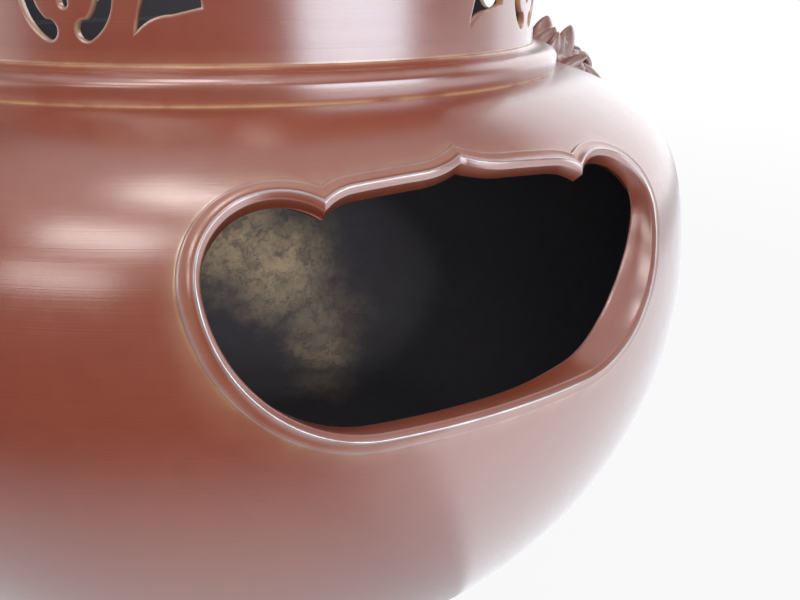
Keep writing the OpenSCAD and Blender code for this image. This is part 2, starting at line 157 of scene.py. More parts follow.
class FuroBowl(bpy.types.PropertyGroup):
    """Sizes of the turned bowl."""

    width: length("Width", "Diameter at the widest line of the belly", 0.330)
    neck_z: length("Neck height", "Height of the neck ledge above the floor", 0.238)
    depth: length("Depth", "Drop from the neck ledge to the underside of the base", 0.192)
    wall: length("Wall", "Thickness of the cast wall", 0.005)
    base_t: length("Base", "Thickness of the flat base", 0.008)
    lower_r: length("Lower radius", "Profile radius below the widest line", 0.140)
    upper_r: length("Upper radius", "Profile radius just above the widest line", 0.130)
    shoulder_r: length("Shoulder radius", "Profile radius where the shoulder turns in", 0.040)
    crown_r: length("Crown radius", "Profile radius of the crown of the shoulder", 0.060)
    neck_rise: length("Neck rise", "Height of the ledge above the crown", 0.0088)
    bead_r: length("Bead radius", "Radius of the half-round bead round the neck", 0.0048)
    bead_out: length("Bead offset", "Distance of the bead's middle outside the collar wall", 0.0041)
    bore_r: length("Neck bore", "Radius of the bore the collar's spigot drops into", 0.100)


class FuroWindow(bpy.types.PropertyGroup):
    """Sizes of the cusped fire window and its frame."""

    half_w: length("Half width", "Half width of the opening", 0.0648)
    bottom: length("Sill drop", "Drop from the neck ledge to the sill", 0.0754)
    corner_r: length("Corner radius", "Radius of the lower corners", 0.0345)
    lobe_drop: length("Lobe place", "Place of the lobe tops along the tilted cut", 0.1165)
    lobe_r: length("Lobe radius", "Radius of the two upper lobes", 0.0156)
    top_drop: length("Top drop", "Depth of the top edge below the lobes", 0.0033)
    cusp_turn: length("Cusp turn", "Where the top edge turns down to the cusp", 0.0285)
    cusp_r: length("Cusp radius", "Radius with which the top edge turns down", 0.0129)
    peak_turn: length("Peak turn", "Where the top edge turns up to the peak", 0.0123)
    peak_r: length("Peak radius", "Radius with which the top edge turns up", 0.0252)
    band_w: length("Frame width", "Width of the frame round the opening", 0.005)
    band_rise: length("Frame rise", "Height of the frame above the belly", 0.0011)
    lip_rise: length("Lip rise", "Height of the sharp inner arris above the belly", 0.00157)
    bevel_w: length("Bevel", "Width of the bevel between the arris and the opening", 0.0013)


class FuroCollar(bpy.types.PropertyGroup):
    """Sizes of the pierced collar."""

    width: length("Width", "Outer diameter of the collar wall", 0.213)
    height: length("Height", "Height of the collar above the ledge", 0.041)
    wall: length("Wall", "Thickness of the pierced wall", 0.0022)
    foot_t: length("Foot", "Thickness of the foot ring", 0.003)
    spigot_h: length("Spigot depth", "Depth of the spigot in the neck", 0.008)
    spigot_r: length("Spigot radius", "Outer radius of the spigot", 0.09995)
    spigot_t: length("Spigot wall", "Thickness of the spigot", 0.003)
    rest_h: length("Rest height", "Height of the inward kettle rest", 0.005)
    rest_w: length("Rest width", "Width of the inward kettle rest", 0.0058)
    roll_r: length("Roll radius", "Radius of the half-round roll outside the rim", 0.0025)
    medal_r: length("Ring of slots", "Outer radius of the ring of slots", 0.0132)
    slot_w: length("Slot width", "Width of the ring slots", 0.0043)
    medal_z: length("Ring height", "Height of the ring's middle above the ledge", 0.0175)
    bulb_r: length("Bulb radius", "Radius of the bulb at each slot end", 0.0025)
    stem_w: length("Stem", "Half width of the stems that hold the ring's middle", 0.003)
    slit_w: length("Slit width", "Width of the slit in the ring's middle", 0.0024)
    slit_h: length("Slit length", "Length of the slit in the ring's middle", 0.008)
    round_r: length("Edge rounding", "Rounding of the pierced edges", 0.0005)
    hole_r: length("Hole radius", "Radius of the round holes in the sides and back", 0.008)
    hole_z: length("Hole height", "Height of the round holes' middles above the ledge", 0.0173)
    panel_angle: angle("Panel angle", "Angle from the window's middle to either panel", 41)
    turn: angle("Turn", "Turn of the collar from the window's middle", -2.7)
    leaf_right: angle("Right leaf", "Angle from the ring to the leaf on its right", 14.3)
    leaf_left: angle("Left leaf", "Angle from the ring to the leaf on its left", 16.6)
    side_hole: angle("Side hole", "Angle from the window's middle to the hole over either lug", 87.2)
    back_hole: angle("Back hole", "Angle from the window's middle to the first hole at the back", 171.7)
    back_pitch: angle("Back pitch", "Angle between the two holes at the back", 32)


class FuroLug(bpy.types.PropertyGroup):
    """Sizes of the mask lugs and their rings."""

    muzzle_drop: length("Muzzle drop", "Drop from the mask's middle to the ring bore", 0.014)
    muzzle_rise: length("Muzzle rise", "Height of the ring bore above the shoulder", 0.013)
    muzzle_r: length("Muzzle radius", "Radius of the muzzle round the ring bore", 0.0075)
    muzzle_l: length("Muzzle length", "Length of the muzzle along the bore", 0.011)
    ring_r: length("Ring radius", "Radius of the ring to the middle of its bar", 0.024)
    bar_r: length("Bar radius", "Radius of the ring's bar", 0.003)
    ring_gap: length("Bore room", "Room round the bar in the bore", 0.001)
    grain: length("Sculpt grain", "Voxel size of the sculpted mask", 0.0006)
    slope: angle("Slope", "Slope angle of the shoulder under the mask", 54)
    lean: angle("Ring lean", "Lean of the hanging ring against the belly", 5.02594)


class FuroLeg(bpy.types.PropertyGroup):
    """Sizes of the feet."""

    pitch: length("Pitch", "Distance of each foot from the middle", 0.092)
    waist: length("Waist", "Radius of the foot at its waist", 0.009)
    waist_z: length("Waist height", "Height of the waist above the floor", 0.024)
    curve: length("Curve", "Profile radius of the waisted foot", 0.038)
    sole_c: length("Sole", "Rounding at the sole", 0.002)
    pocket: length("Pocket", "Depth of the pocket that hides the screw head", 0.010)
    pocket_r: length("Pocket radius", "Radius of that pocket", 0.0071)
    hole_r: length("Screw hole", "Radius of the hole for the screw", 0.00305)


class FuroFinish(bpy.types.PropertyGroup):
    """Colours of the finishes."""

    patina: colour("Patina", "Reddish-brown patina of the turned wall", (0.360, 0.076, 0.046))
    patina_warm: colour("Warm patina", "Warmer patches of the patina", (0.385, 0.092, 0.046))
    patina_dark: colour("Dark patina", "Darker brown of lugs, rings and feet", (0.320, 0.110, 0.078))
    crease: colour("Crease", "Tan-gold that stays in the creases", (0.74, 0.47, 0.27))
    # The worn edge colour is lightened to lavender white: rubbed bronze with a painted highlight of the light from the
    # right
    wear_and_highlight: colour("Worn edge and highlight", "Rubbed and highlighted bronze on edges", (0.72, 0.60, 0.58))
    soot: colour("Soot", "Dark inside of the bowl", (0.055, 0.050, 0.063))
    clay: colour("Clay wash", "Dried clay wash inside the bowl", (0.66, 0.50, 0.33))
    iron: colour("Iron", "Blackened iron of the fasteners", (0.045, 0.042, 0.042))
    floor: colour("Floor", "Pale studio floor", (0.86, 0.86, 0.87))


class FuroSettings(bpy.types.PropertyGroup):
    """All settings of the brazier."""

    bowl: bpy.props.PointerProperty(type=FuroBowl)
    window: bpy.props.PointerProperty(type=FuroWindow)
    collar: bpy.props.PointerProperty(type=FuroCollar)
    lug: bpy.props.PointerProperty(type=FuroLug)
    leg: bpy.props.PointerProperty(type=FuroLeg)
    finish: bpy.props.PointerProperty(type=FuroFinish)


def in_mm(group):
    """The lengths of a property group in millimetres; angles stay in radians."""
    values = {}
    for prop in group.bl_rna.properties:
        if prop.type == "FLOAT" and not prop.is_array:
            scale = 1000 if prop.unit == "LENGTH" else 1
            values[prop.identifier] = getattr(group, prop.identifier) * scale
    return SimpleNamespace(**values)


# Plane geometry


def share(value):
    """A value kept between nothing and one."""
    return min(1, max(0, value))


def bump_at(value, middle, width):
    """A soft hump of height one round a middle."""
    return math.exp(-(((value - middle) / width) ** 2))


def run(start, end, steps):
    """Points of a straight run, without its last one."""
    return [tuple(p + (q - p) * k / steps for p, q in zip(start, end)) for k in range(steps)]


def arc(c, r, start, end, steps):
    """Points of an arc, without its last one."""
    turns = [start + (end - start) * k / steps for k in range(steps)]
    return [(c[0] + r * math.cos(a), c[1] + r * math.sin(a)) for a in turns]


def crossing(c1, r1, c2, r2):
    """The point where two circles cross on the right, seen from the first middle."""
    gap = math.hypot(c2[0] - c1[0], c2[1] - c1[1])
    a = (r1**2 - r2**2 + gap**2) / (2 * gap)
    h = math.sqrt(r1**2 - a**2)
    ux, uy = (c2[0] - c1[0]) / gap, (c2[1] - c1[1]) / gap
    return c1[0] + a * ux + h * uy, c1[1] + a * uy - h * ux


def angle_to(c, p):
    """Direction from a middle to a point."""
    return math.atan2(p[1] - c[1], p[0] - c[0])


def ahead(start, end):
    """The end of a counter-clockwise turn, counted on from its start."""
    return start + (end - start) % (2 * math.pi)


# The bowl's profile


def bowl_shape(settings):
    """Sizes of the bowl with the middles of its profile arcs."""
    b = in_mm(settings.bowl)
    b.radius = b.width / 2
    crown_top = (b.upper_r - b.shoulder_r) * SHOULDER_WAY.y - (b.crown_r - b.shoulder_r) * CROWN_WAY.y + b.crown_r
    b.belly_z = b.neck_z - b.neck_rise - crown_top
    b.base_z = b.neck_z - b.depth
    b.low_c = Vector((b.radius - b.lower_r, b.belly_z))
    b.up_c = Vector((b.radius - b.upper_r, b.belly_z))
    b.sh_c = b.up_c + (b.upper_r - b.shoulder_r) * SHOULDER_WAY
    b.crown_c = b.sh_c - (b.crown_r - b.shoulder_r) * CROWN_WAY
    hollow_r = b.lower_r - b.wall
    b.floor_in = b.base_z + b.base_t
    b.heel_r = (b.belly_z + hollow_r * HEEL_WAY.y - b.floor_in) / (1 + HEEL_WAY.y)
    b.heel_c = b.low_c + (hollow_r - b.heel_r) * HEEL_WAY
    b.s_heel = math.atan2(HEEL_WAY.y, HEEL_WAY.x) * b.lower_r
    b.s_shoulder = b.upper_r * SHOULDER_ANGLE
    b.s_crown = b.s_shoulder + b.shoulder_r * (CROWN_ANGLE - SHOULDER_ANGLE)
    b.collar_r = in_mm(settings.collar).width / 2
    b.bead_c = Vector((b.collar_r + b.bead_out, b.neck_z + 0.2 - b.bead_r))
    return b


def arc_at(b, r, z):
    """Middle, radius, start angle and start length of the profile arc that a point belongs to."""
    if z <= b.belly_z:
        return b.low_c, b.lower_r, 0, 0
    if CROWN_WAY.x * (z - b.crown_c.y) - CROWN_WAY.y * (r - b.crown_c.x) >= 0:
        return b.crown_c, b.crown_r, CROWN_ANGLE, b.s_crown
    if SHOULDER_WAY.x * (z - b.sh_c.y) - SHOULDER_WAY.y * (r - b.sh_c.x) >= 0:
        return b.sh_c, b.shoulder_r, SHOULDER_ANGLE, b.s_shoulder
    return b.up_c, b.upper_r, 0, 0


def offset_of(b, co):
    """Distance of a point outside the bowl's surface, negative inside."""
    r = math.hypot(co[0], co[1])
    c, radius, _, _ = arc_at(b, r, co[2])
    return math.hypot(r - c.x, co[2] - c.y) - radius


def along_of(b, co):
    """Angle round the axis from the window's middle, and length along the profile from the widest line."""
    r = math.hypot(co[0], co[1])
    c, radius, start, begun = arc_at(b, r, co[2])
    turn = math.atan2(co[2] - c.y, r - c.x)
    return math.atan2(co[0], -co[1]), begun + (turn - start) * radius


def profile_at(b, s, out=0):
    """Point (r, z) of the profile, s along it from the widest line, moved out along its normal."""
    if s < 0:
        c, radius, turn = b.low_c, b.lower_r, s / b.lower_r
    elif s < b.s_shoulder:
        c, radius, turn = b.up_c, b.upper_r, s / b.upper_r
    elif s < b.s_crown:
        c, radius, turn = b.sh_c, b.shoulder_r, SHOULDER_ANGLE + (s - b.s_shoulder) / b.shoulder_r
    else:
        c, radius, turn = b.crown_c, b.crown_r, CROWN_ANGLE + (s - b.s_crown) / b.crown_r
    return c.x + (radius + out) * math.cos(turn), c.y + (radius + out) * math.sin(turn)


def on_wall(b, phi, s, out=0):
    """Point of the wall at an angle from the window's middle."""
    r, z = profile_at(b, s, out)
    return Vector((r * math.sin(phi), -r * math.cos(phi), z))


def wall_normal(b, co):
    """Outward normal of the wall at a point."""
    r = math.hypot(co[0], co[1])
    c, _, _, _ = arc_at(b, r, co[2])
    way = Vector((r - c.x, co[2] - c.y)).normalized()
    return Vector((way.x * co[0] / r, way.x * co[1] / r, way.y))


# The fire window's outline on the wall


def meet(b, start, way, reach, out):
    """The point where a line from inside the bowl comes to a height over the wall."""
    low, high = 0.0, reach
    for _ in range(HALVINGS):
        mid = (low + high) / 2
        if offset_of(b, start + mid * way) < out:
            low = mid
        else:
            high = mid
    return start + low * way


def straight_cut(b, x, z, out):
    """The point of the wall met by a level line from the front."""
    return meet(b, Vector((x, 0, z)), Vector((0, -1, 0)), 2 * b.radius, out)


def tilted_cut(b, w, x, v, out):
    """The point of the wall met by a line that climbs outwards at half a right angle."""
    k = math.sqrt(0.5)
    start = Vector((x, k * (v - w.lobe_drop), b.neck_z + k * (v - w.lobe_drop)))
    return meet(b, start, Vector((0, -k, k)), b.radius, out)


def window_loop(b, w, grow, out):
    """The window's outline grown by some amount, at a height over the wall, from the sill's middle to the right."""
    corner = (w.half_w - w.corner_r, b.neck_z + w.corner_r - w.bottom)
    lobe, lobe_r = (w.half_w - w.lobe_r, -w.lobe_r), w.lobe_r + grow
    turn, turn_r = (w.cusp_turn, -w.top_drop - w.cusp_r), w.cusp_r + grow
    cusp = crossing(lobe, lobe_r, turn, turn_r)
    sill, side, top = corner[1] - w.corner_r - grow, w.half_w + grow, grow - w.top_drop
    lobe_foot = tilted_cut(b, w, side, lobe[1], out).z
    low = run((0, sill), (corner[0], sill), 12)
    low += arc(corner, w.corner_r + grow, -math.pi / 2, 0, 32)
    low += run((side, corner[1]), (side, lobe_foot), 4)
    high = arc(lobe, lobe_r, 0, angle_to(lobe, cusp), 28)
    high += arc(turn, turn_r, angle_to(turn, cusp), math.pi / 2, 8)
    high += run((w.cusp_turn, top), (w.peak_turn, top), 8)
    for k in range(9):
        x = w.peak_turn * (1 - k / 8)
        high.append((x, w.peak_r - w.top_drop - math.sqrt((w.peak_r - grow) ** 2 - (w.peak_turn - x) ** 2)))
    half = [straight_cut(b, x, z, out) for x, z in low] + [tilted_cut(b, w, x, v, out) for x, v in high]
    return half + [Vector((-p.x, p.y, p.z)) for p in reversed(half[1:-1])]


def patch_border():
    """Angle and profile length of the patch's border, in step with the window's outline."""
    side = math.radians(PATCH_COLUMNS)
    half = run((0, PATCH_LOW), (side, PATCH_LOW), PATCH_COLUMNS)
    half += run((side, PATCH_LOW), (side, PATCH_HIGH), PATCH_ROWS)
    half += run((side, PATCH_HIGH), (0, PATCH_HIGH), PATCH_COLUMNS) + [(0, PATCH_HIGH)]
    return half + [(-phi, s) for phi, s in reversed(half[1:-1])]


def cut_place(p, n, middle, wall, depth, spread):
    """A place in the window's cut, behind a point of the rim with the wall's normal there."""
    away = (p - middle) - n * n.dot(p - middle)
    # The wall is thicker towards the window's lower right corner
    low = share((middle.z - p.z) / CUT_FALL + 0.4)
    thick = wall * (CUT_TOP + CUT_LOW * low + CUT_RIGHT * low * share(p.x / CUT_REACH) ** 2)
    # The back edge has a rounder lower right corner, and stands a little to the left below the cusps
    turn = math.degrees(math.atan2(p.z - middle.z, p.x))
    out = spread - CUT_ROUND * depth * bump_at(turn, CORNER_TURN, CORNER_WIDTH)
    skew = Vector((-CUT_LEFT * depth * share((middle.z + CUT_MOVE_FROM - p.z) / CUT_MOVE_OVER), 0, 0))
    return p - n * depth * thick + away.normalized() * out + skew


# Modelling helpers


def spun(bm, geom, steps, axis=(0, 0, 1), cent=(0, 0, 0)):
    """Spins vertices and edges once round an axis."""
    bmesh.ops.spin(bm, geom=geom, cent=cent, axis=axis, angle=2 * math.pi, steps=steps, use_merge=True)


def turned(bm, points, steps=360, closed=False):
    """A turned shape: the profile of points (r, z) is spun once round the upright axis."""
    verts = [bm.verts.new((0, -r, z)) for r, z in points]
    ends = verts[1:] + verts[:1] if closed else verts[1:]
    spun(bm, verts + [bm.edges.new(pair) for pair in zip(verts, ends)], steps)
    bmesh.ops.remove_doubles(bm, verts=bm.verts, dist=0.0005)


def turn_about(bm, verts, turn):
    """Turns vertices about the upright axis."""
    bmesh.ops.rotate(bm, verts=verts, cent=(0, 0, 0), matrix=Matrix.Rotation(turn, 3, "Z"))


def ring_of(bm, places):
    """The mesh vertices nearest to the places."""
    bm.verts.ensure_lookup_table()
    bm.verts.index_update()
    tree = kdtree.KDTree(len(bm.verts))
    for v in bm.verts:
        tree.insert(v.co, v.index)
    tree.balance()
    return [bm.verts[tree.find(p)[1]] for p in places]


def edges_of(bm, ring):
    """The edges between neighbours of a closed ring of vertices."""
    return [bm.edges.get(pair) for pair in zip(ring, ring[1:] + ring[:1])]


def edges_of_new(bm, ring):
    """New edges round a closed ring of vertices."""
    return [bm.edges.new(pair) for pair in zip(ring, ring[1:] + ring[:1])]


def pull(bm, ring, places):
    """Extrudes a closed ring of vertices and brings the new ring to its places."""
    made = bmesh.ops.extrude_edge_only(bm, edges=edges_of(bm, ring))["geom"]
    fresh = {g for g in made if isinstance(g, bmesh.types.BMVert)}
    pulled = []
    for v, place in zip(ring, places):
        twin = next(e.other_vert(v) for e in v.link_edges if e.other_vert(v) in fresh)
        twin.co = place
        pulled.append(twin)
    return pulled


def paint(bm, rule):
    """Writes the crease and edge masks from a rule of the vertex's place."""
    crease = bm.verts.layers.float.get("crease") or bm.verts.layers.float.new("crease")
    edge = bm.verts.layers.float.get("edge") or bm.verts.layers.float.new("edge")
    for v in bm.verts:
        v[crease], v[edge] = rule(v)


def finish_piece(name, bm, materials, body, nodes, sharp=40):
    """Brings a piece to metres, gives it its materials and hangs it on its body."""
    bmesh.ops.recalc_face_normals(bm, faces=bm.faces)
    bmesh.ops.scale(bm, vec=(MM, MM, MM), verts=bm.verts)
    limit = math.radians(sharp)
    for f in bm.faces:
        f.smooth = True
    for e in bm.edges:
        if len(e.link_faces) == 2 and e.calc_face_angle(0) > limit:
            e.smooth = False
    mesh = bpy.data.meshes.new(name)
    bm.to_mesh(mesh)
    bm.free()
    for material in materials:
        mesh.materials.append(material)
    obj = bpy.data.objects.new(name, mesh)
    bpy.context.scene.collection.objects.link(obj)
    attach(obj, body)
    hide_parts(*nodes)
    return obj


# Materials


def feed(tree, n, feeds):
    """Feeds a node's inputs with sockets or constants."""
    for key, value in feeds.items():
        if isinstance(value, bpy.types.NodeSocket):
            tree.links.new(value, n.inputs[key])
        else:
            n.inputs[key].default_value = value


def node(tree, kind, feeds=None, **values):
    """Adds a node: values are set on the node itself, feeds on its inputs."""
    n = tree.nodes.new(kind)
    for key, value in values.items():
        setattr(n, key, value)
    feed(tree, n, feeds or {})
    return n


def math_node(tree, operation, *terms):
    """A math node fed by sockets or numbers."""
    return node(tree, "ShaderNodeMath", dict(enumerate(terms)), operation=operation).outputs[0]


def vector_node(tree, operation, *terms):
    """The outputs of a vector math node fed by sockets or vectors."""
    return node(tree, "ShaderNodeVectorMath", dict(enumerate(terms)), operation=operation).outputs


def mix_colour(tree, factor, first, second, blend="MIX"):
    """A colour mix fed by sockets or colours."""
    first, second = (c if isinstance(c, bpy.types.NodeSocket) else (*c, 1) for c in (first, second))
    feeds = {0: factor, 6: first, 7: second}
    return node(tree, "ShaderNodeMix", feeds, data_type="RGBA", blend_type=blend).outputs[2]


def mix_shaders(tree, factor, first, second):
    """A mix of two shader nodes."""
    return node(tree, "ShaderNodeMixShader", {0: factor, 1: first.outputs[0], 2: second.outputs[0]})


def ramp(tree, value, low, high, to_low=0.0, to_high=1.0):
    """A smooth step of a value between two limits."""
    feeds = {"Value": value, "From Min": low, "From Max": high, "To Min": to_low, "To Max": to_high}
    return node(tree, "ShaderNodeMapRange", feeds, interpolation_type="SMOOTHSTEP").outputs[0]


def noise(tree, place, scale, detail, rough=0.5, output="Fac"):
    """A noise texture's value or colour."""
    feeds = {"Vector": place, "Scale": scale, "Detail": detail, "Roughness": rough}
    return node(tree, "ShaderNodeTexNoise", feeds).outputs[output]


def relief(tree, height, strength, distance):
    """A bump's normal."""
    return node(tree, "ShaderNodeBump", {"Height": height, "Strength": strength, "Distance": distance}).outputs[0]


def shared_group(name, inputs, outputs, build):
    """A node group with named sockets, made when it is first asked for; build gives the sockets of its outputs."""
    tree = bpy.data.node_groups.get(name)
    if tree is None:
        tree = bpy.data.node_groups.new(name, "ShaderNodeTree")
        for way, sockets in (("INPUT", inputs), ("OUTPUT", outputs)):
            for socket, kind in sockets.items():
                tree.interface.new_socket(socket, in_out=way, socket_type="NodeSocket" + kind)
        given = tree.nodes.new("NodeGroupInput").outputs
        feed(tree, tree.nodes.new("NodeGroupOutput"), build(tree, given))
    return tree


def group_node(tree, group, feeds):
    """The outputs of a node group that is put into a material."""
    return node(tree, "ShaderNodeGroup", feeds, node_tree=group).outputs


def turning_group(b):
    """Fine lines left by turning on a lathe, from the place on the object."""

    def build(tree, given):
        split = node(tree, "ShaderNodeSeparateXYZ", {0: given["Vector"]}).outputs
        flat = node(tree, "ShaderNodeCombineXYZ", {0: split[0], 1: split[1]}).outputs[0]
        inward = math_node(tree, "SUBTRACT", b.radius * MM, vector_node(tree, "LENGTH", flat)["Value"])
        above = math_node(tree, "SIGN", math_node(tree, "SUBTRACT", split[2], b.belly_z * MM))
        travel = math_node(tree, "ADD", split[2], math_node(tree, "MULTIPLY", above, inward))
        lines = math_node(tree, "MULTIPLY", travel, given["Lines per metre"])
        feeds = {"W": lines, "Scale": 1.0, "Detail": 3.0, "Roughness": 0.65}
        return {"Lines": node(tree, "ShaderNodeTexNoise", feeds, noise_dimensions="1D").outputs["Fac"]}

    return shared_group("Turning lines", {"Vector": "Vector", "Lines per metre": "Float"}, {"Lines": "Float"}, build)


def patina_group():
    """Cloudy patina: a slow variation and a fine mottle."""

    def build(tree, given):
        cloud = ramp(tree, noise(tree, given["Vector"], 9.0, 3.0), 0.35, 0.68)
        return {"Cloud": cloud, "Mottle": noise(tree, given["Vector"], 140.0, 5.0, 0.6)}

    return shared_group("Patina", {"Vector": "Vector"}, {"Cloud": "Float", "Mottle": "Float"}, build)


def rub_and_highlight_group():
    """Creases that keep their tan colour, and edges that are rubbed and carry a painted highlight, broken up by noise.
    """

    def build(tree, given):
        broken = ramp(tree, noise(tree, given["Vector"], 95.0, 4.0), 0.30, 0.62, 0.35, 1.0)
        masks = [node(tree, "ShaderNodeAttribute", attribute_name=name) for name in ("crease", "edge")]
        kept, rubbed_and_lit = (math_node(tree, "MULTIPLY", mask.outputs["Fac"], broken) for mask in masks)
        tan = mix_colour(tree, kept, given["Colour"], given["Crease colour"])
        return {"Colour": mix_colour(tree, rubbed_and_lit, tan, given["Wear and highlight colour"]), "Edge": rubbed_and_lit}

    given = {"Vector": "Vector", "Colour": "Color", "Crease colour": "Color", "Wear and highlight colour": "Color"}
    return shared_group("Rubbed and highlighted bronze", given, {"Colour": "Color", "Edge": "Float"}, build)


def shared_material(name, build):
    """A material, made when it is first asked for; build gives its shader's feeds from the object's coordinates."""
    material = bpy.data.materials.get(name)
    if material is None:
        material = bpy.data.materials.new(name)
        material.use_nodes = True
        tree = material.node_tree
        shader = next(n for n in tree.nodes if n.type == "BSDF_PRINCIPLED")
        feed(tree, shader, build(tree, node(tree, "ShaderNodeTexCoord").outputs["Object"]))
    return material


def bronze_material(name, settings, base, warm, lines, rough, line_height):
    """Patinated bronze: base and warm colours, turning lines per metre, roughness and depth of the lines."""
    finish = settings.finish

    def build(tree, place):
        turning = turning_group(bowl_shape(settings))
        turning = group_node(tree, turning, {"Vector": place, "Lines per metre": lines})["Lines"]
        patina = group_node(tree, patina_group(), {"Vector": place})
        body = mix_colour(tree, patina["Cloud"], base, warm)
        body = mix_colour(tree, 1.0, body, ramp(tree, turning, 0.32, 0.68, 0.95, 1.05), "MULTIPLY")
        body = mix_colour(tree, 1.0, body, ramp(tree, patina["Mottle"], 0.3, 0.7, 0.97, 1.03), "MULTIPLY")
        feeds = {"Crease colour": (*finish.crease, 1), "Wear and highlight colour": (*finish.wear_and_highlight, 1)}
        rub_and_highlight = group_node(tree, rub_and_highlight_group(), {"Vector": place, "Colour": body, **feeds})
        dull = ramp(tree, patina["Mottle"], 0.25, 0.75, rough - 0.015, rough + 0.015)
        return {
            "Base Color": rub_and_highlight["Colour"],
            "Roughness": math_node(tree, "SUBTRACT", dull, math_node(tree, "MULTIPLY", rub_and_highlight["Edge"], 0.08)),
            "Metallic": math_node(tree, "MULTIPLY", rub_and_highlight["Edge"], 0.4),
            "Normal": relief(tree, math_node(tree, "MULTIPLY", turning, line_height), 0.12, 0.0002),
            "IOR": 2.4,
            "Coat Weight": 0.2,
            "Coat Roughness": 0.16,
        }

    return shared_material(name, build)


def inside_material(settings):
    """The bowl's inside: soot with clouds of dried clay wash."""
    finish = settings.finish

    def build(tree, place):
        cloud = noise(tree, place, 70.0, 9.0, 0.74)
        wide = noise(tree, place, 17.0, 5.0, 0.62)
        # The place is shaken by noise, so that the washes have broken edges
        shake = vector_node(tree, "SUBTRACT", noise(tree, place, 42.0, 8.0, 0.68, "Color"), (0.5, 0.5, 0.5))
        shaken = vector_node(tree, "MULTIPLY_ADD", shake["Vector"], (0.045, 0.045, 0.045), place)["Vector"]
        near = 0.0
        for middle, reach, strength in WASHES:
            far = vector_node(tree, "DISTANCE", shaken, middle)["Value"]
            near = math_node(tree, "MAXIMUM", ramp(tree, far, 0.0, reach, strength, 0.0), near)
        broken = math_node(tree, "MULTIPLY", math_node(tree, "ADD", cloud, wide), 0.8)
        crack = ramp(tree, noise(tree, shaken, 120.0, 9.0, 0.72), 0.38, 0.56, 0.42, 1.08)
        patch = ramp(tree, math_node(tree, "MULTIPLY", near, broken), 0.02, 1.0)
        patch = math_node(tree, "MULTIPLY", patch, crack)
        faint = math_node(tree, "MULTIPLY", ramp(tree, broken, 0.7, 1.2), 0.03)
        return {
            "Base Color": mix_colour(tree, math_node(tree, "MAXIMUM", faint, patch), finish.soot, finish.clay),
            "Roughness": ramp(tree, cloud, 0.3, 0.7, 0.62, 0.9),
            "Normal": relief(tree, cloud, 0.4, 0.0006),
        }

    return shared_material("Inside", build)


def iron_material(settings):
    """Blackened iron of the screws and washers, with a trace of rust."""
    dark = settings.finish.iron

    def build(tree, place):
        patina = group_node(tree, patina_group(), {"Vector": place})
        body = mix_colour(tree, patina["Mottle"], dark, [c * 2.2 for c in dark])
        rust = math_node(tree, "MULTIPLY", patina["Cloud"], 0.25)
        return {
            "Base Color": mix_colour(tree, rust, body, (0.13, 0.055, 0.03)),
            "Roughness": ramp(tree, patina["Mottle"], 0.3, 0.7, 0.45, 0.65),
            "Metallic": 0.8,
        }

    return shared_material("Iron", build)


def turned_bronze(settings):
    """Bronze of the turned bowl and collar."""
    f = settings.finish
    return bronze_material("Turned bronze", settings, f.patina, f.patina_warm, 2600.0, 0.25, 1.0)


def cast_bronze(settings):
    """Darker bronze of the cast lugs, rings and feet."""
    f = settings.finish
    warm = tuple((a + b) / 2 for a, b in zip(f.patina_dark, f.patina_warm))
    return bronze_material("Cast bronze", settings, f.patina_dark, warm, 60.0, 0.42, 0.2)


# Pieces


def bead_at(b, a):
    """The bead's profile at an angle: low and rounded above its widest line, almost upright below it."""
    way = Vector((math.cos(a), 0.7 * math.sin(a))) if a > 0 else Vector((0.75 + 0.25 * math.cos(a), math.sin(a)))
    return b.bead_c + b.bead_r * way


def bead_foot(b):
    """The place and angle where the bead meets the crown."""
    a = 0.0
    while (bead_at(b, a) - b.crown_c).length > b.crown_r and a > -math.pi / 2:
        a -= 0.002
    return bead_at(b, a), a


def wall_run(b, start, end, steps, out=0):
    """Points of the wall's profile between two lengths along it, without the last one."""
    return [profile_at(b, start + (end - start) * k / steps, out) for k in range(steps)]


def bowl_profile(b):
    """The bowl's whole profile, from the underside's middle outside and over the ledge to the floor's middle inside."""
    outer_low = -math.asin((b.belly_z - b.base_z) / b.lower_r) * b.lower_r
    foot_r = profile_at(b, outer_low)[0]
    points = [(r, b.base_z) for r in (0, foot_r * 0.4, foot_r * 0.8, foot_r - 2)]
    points += wall_run(b, outer_low + 0.6, PATCH_LOW, 40)
    points += wall_run(b, PATCH_LOW, PATCH_HIGH, PATCH_ROWS) + [profile_at(b, PATCH_HIGH)]
    # The crown runs on to the bead's foot, and the bead over to the ledge
    foot, start = bead_foot(b)
    s_foot = b.s_crown + (angle_to(b.crown_c, foot) - CROWN_ANGLE) * b.crown_r
    for t in (0.25, 0.5, 0.7, 0.84, 0.93, 0.975):
        points.append(profile_at(b, PATCH_HIGH + (s_foot - PATCH_HIGH) * t))
    for k in range(25):
        points.append(tuple(bead_at(b, start + (math.pi / 2 - start) * k / 24)))
    # A shallow cove runs from the bead up to the ledge
    top = bead_at(b, math.pi / 2)
    ledge_r = b.collar_r + 0.5
    for t in (0.2, 0.4, 0.6, 0.8, 0.92):
        points.append((top.x + (ledge_r - top.x) * t, top.y + (b.neck_z - top.y) * t**2.4))
    points += [(r, b.neck_z) for r in (ledge_r, b.collar_r - 1, b.bore_r + 0.5)]
    crown_end = b.s_crown + b.crown_r * (math.pi / 2 - CROWN_ANGLE)
    crown_in = profile_at(b, crown_end, -b.wall)[1]
    points += [(b.bore_r, b.neck_z - 0.5), (b.bore_r, crown_in + 0.5), (b.bore_r + 0.5, crown_in)]
    points += wall_run(b, crown_end, PATCH_HIGH, 6, -b.wall)
    points += wall_run(b, PATCH_HIGH, PATCH_LOW, PATCH_ROWS, -b.wall)
    points += wall_run(b, PATCH_LOW, b.s_heel, 14, -b.wall)
    points += arc(b.heel_c, b.heel_r, math.atan2(HEEL_WAY.y, HEEL_WAY.x), -math.pi / 2, 20)
    return points + [(r, b.floor_in) for r in (b.heel_c.x, b.heel_c.x / 2, 0)]


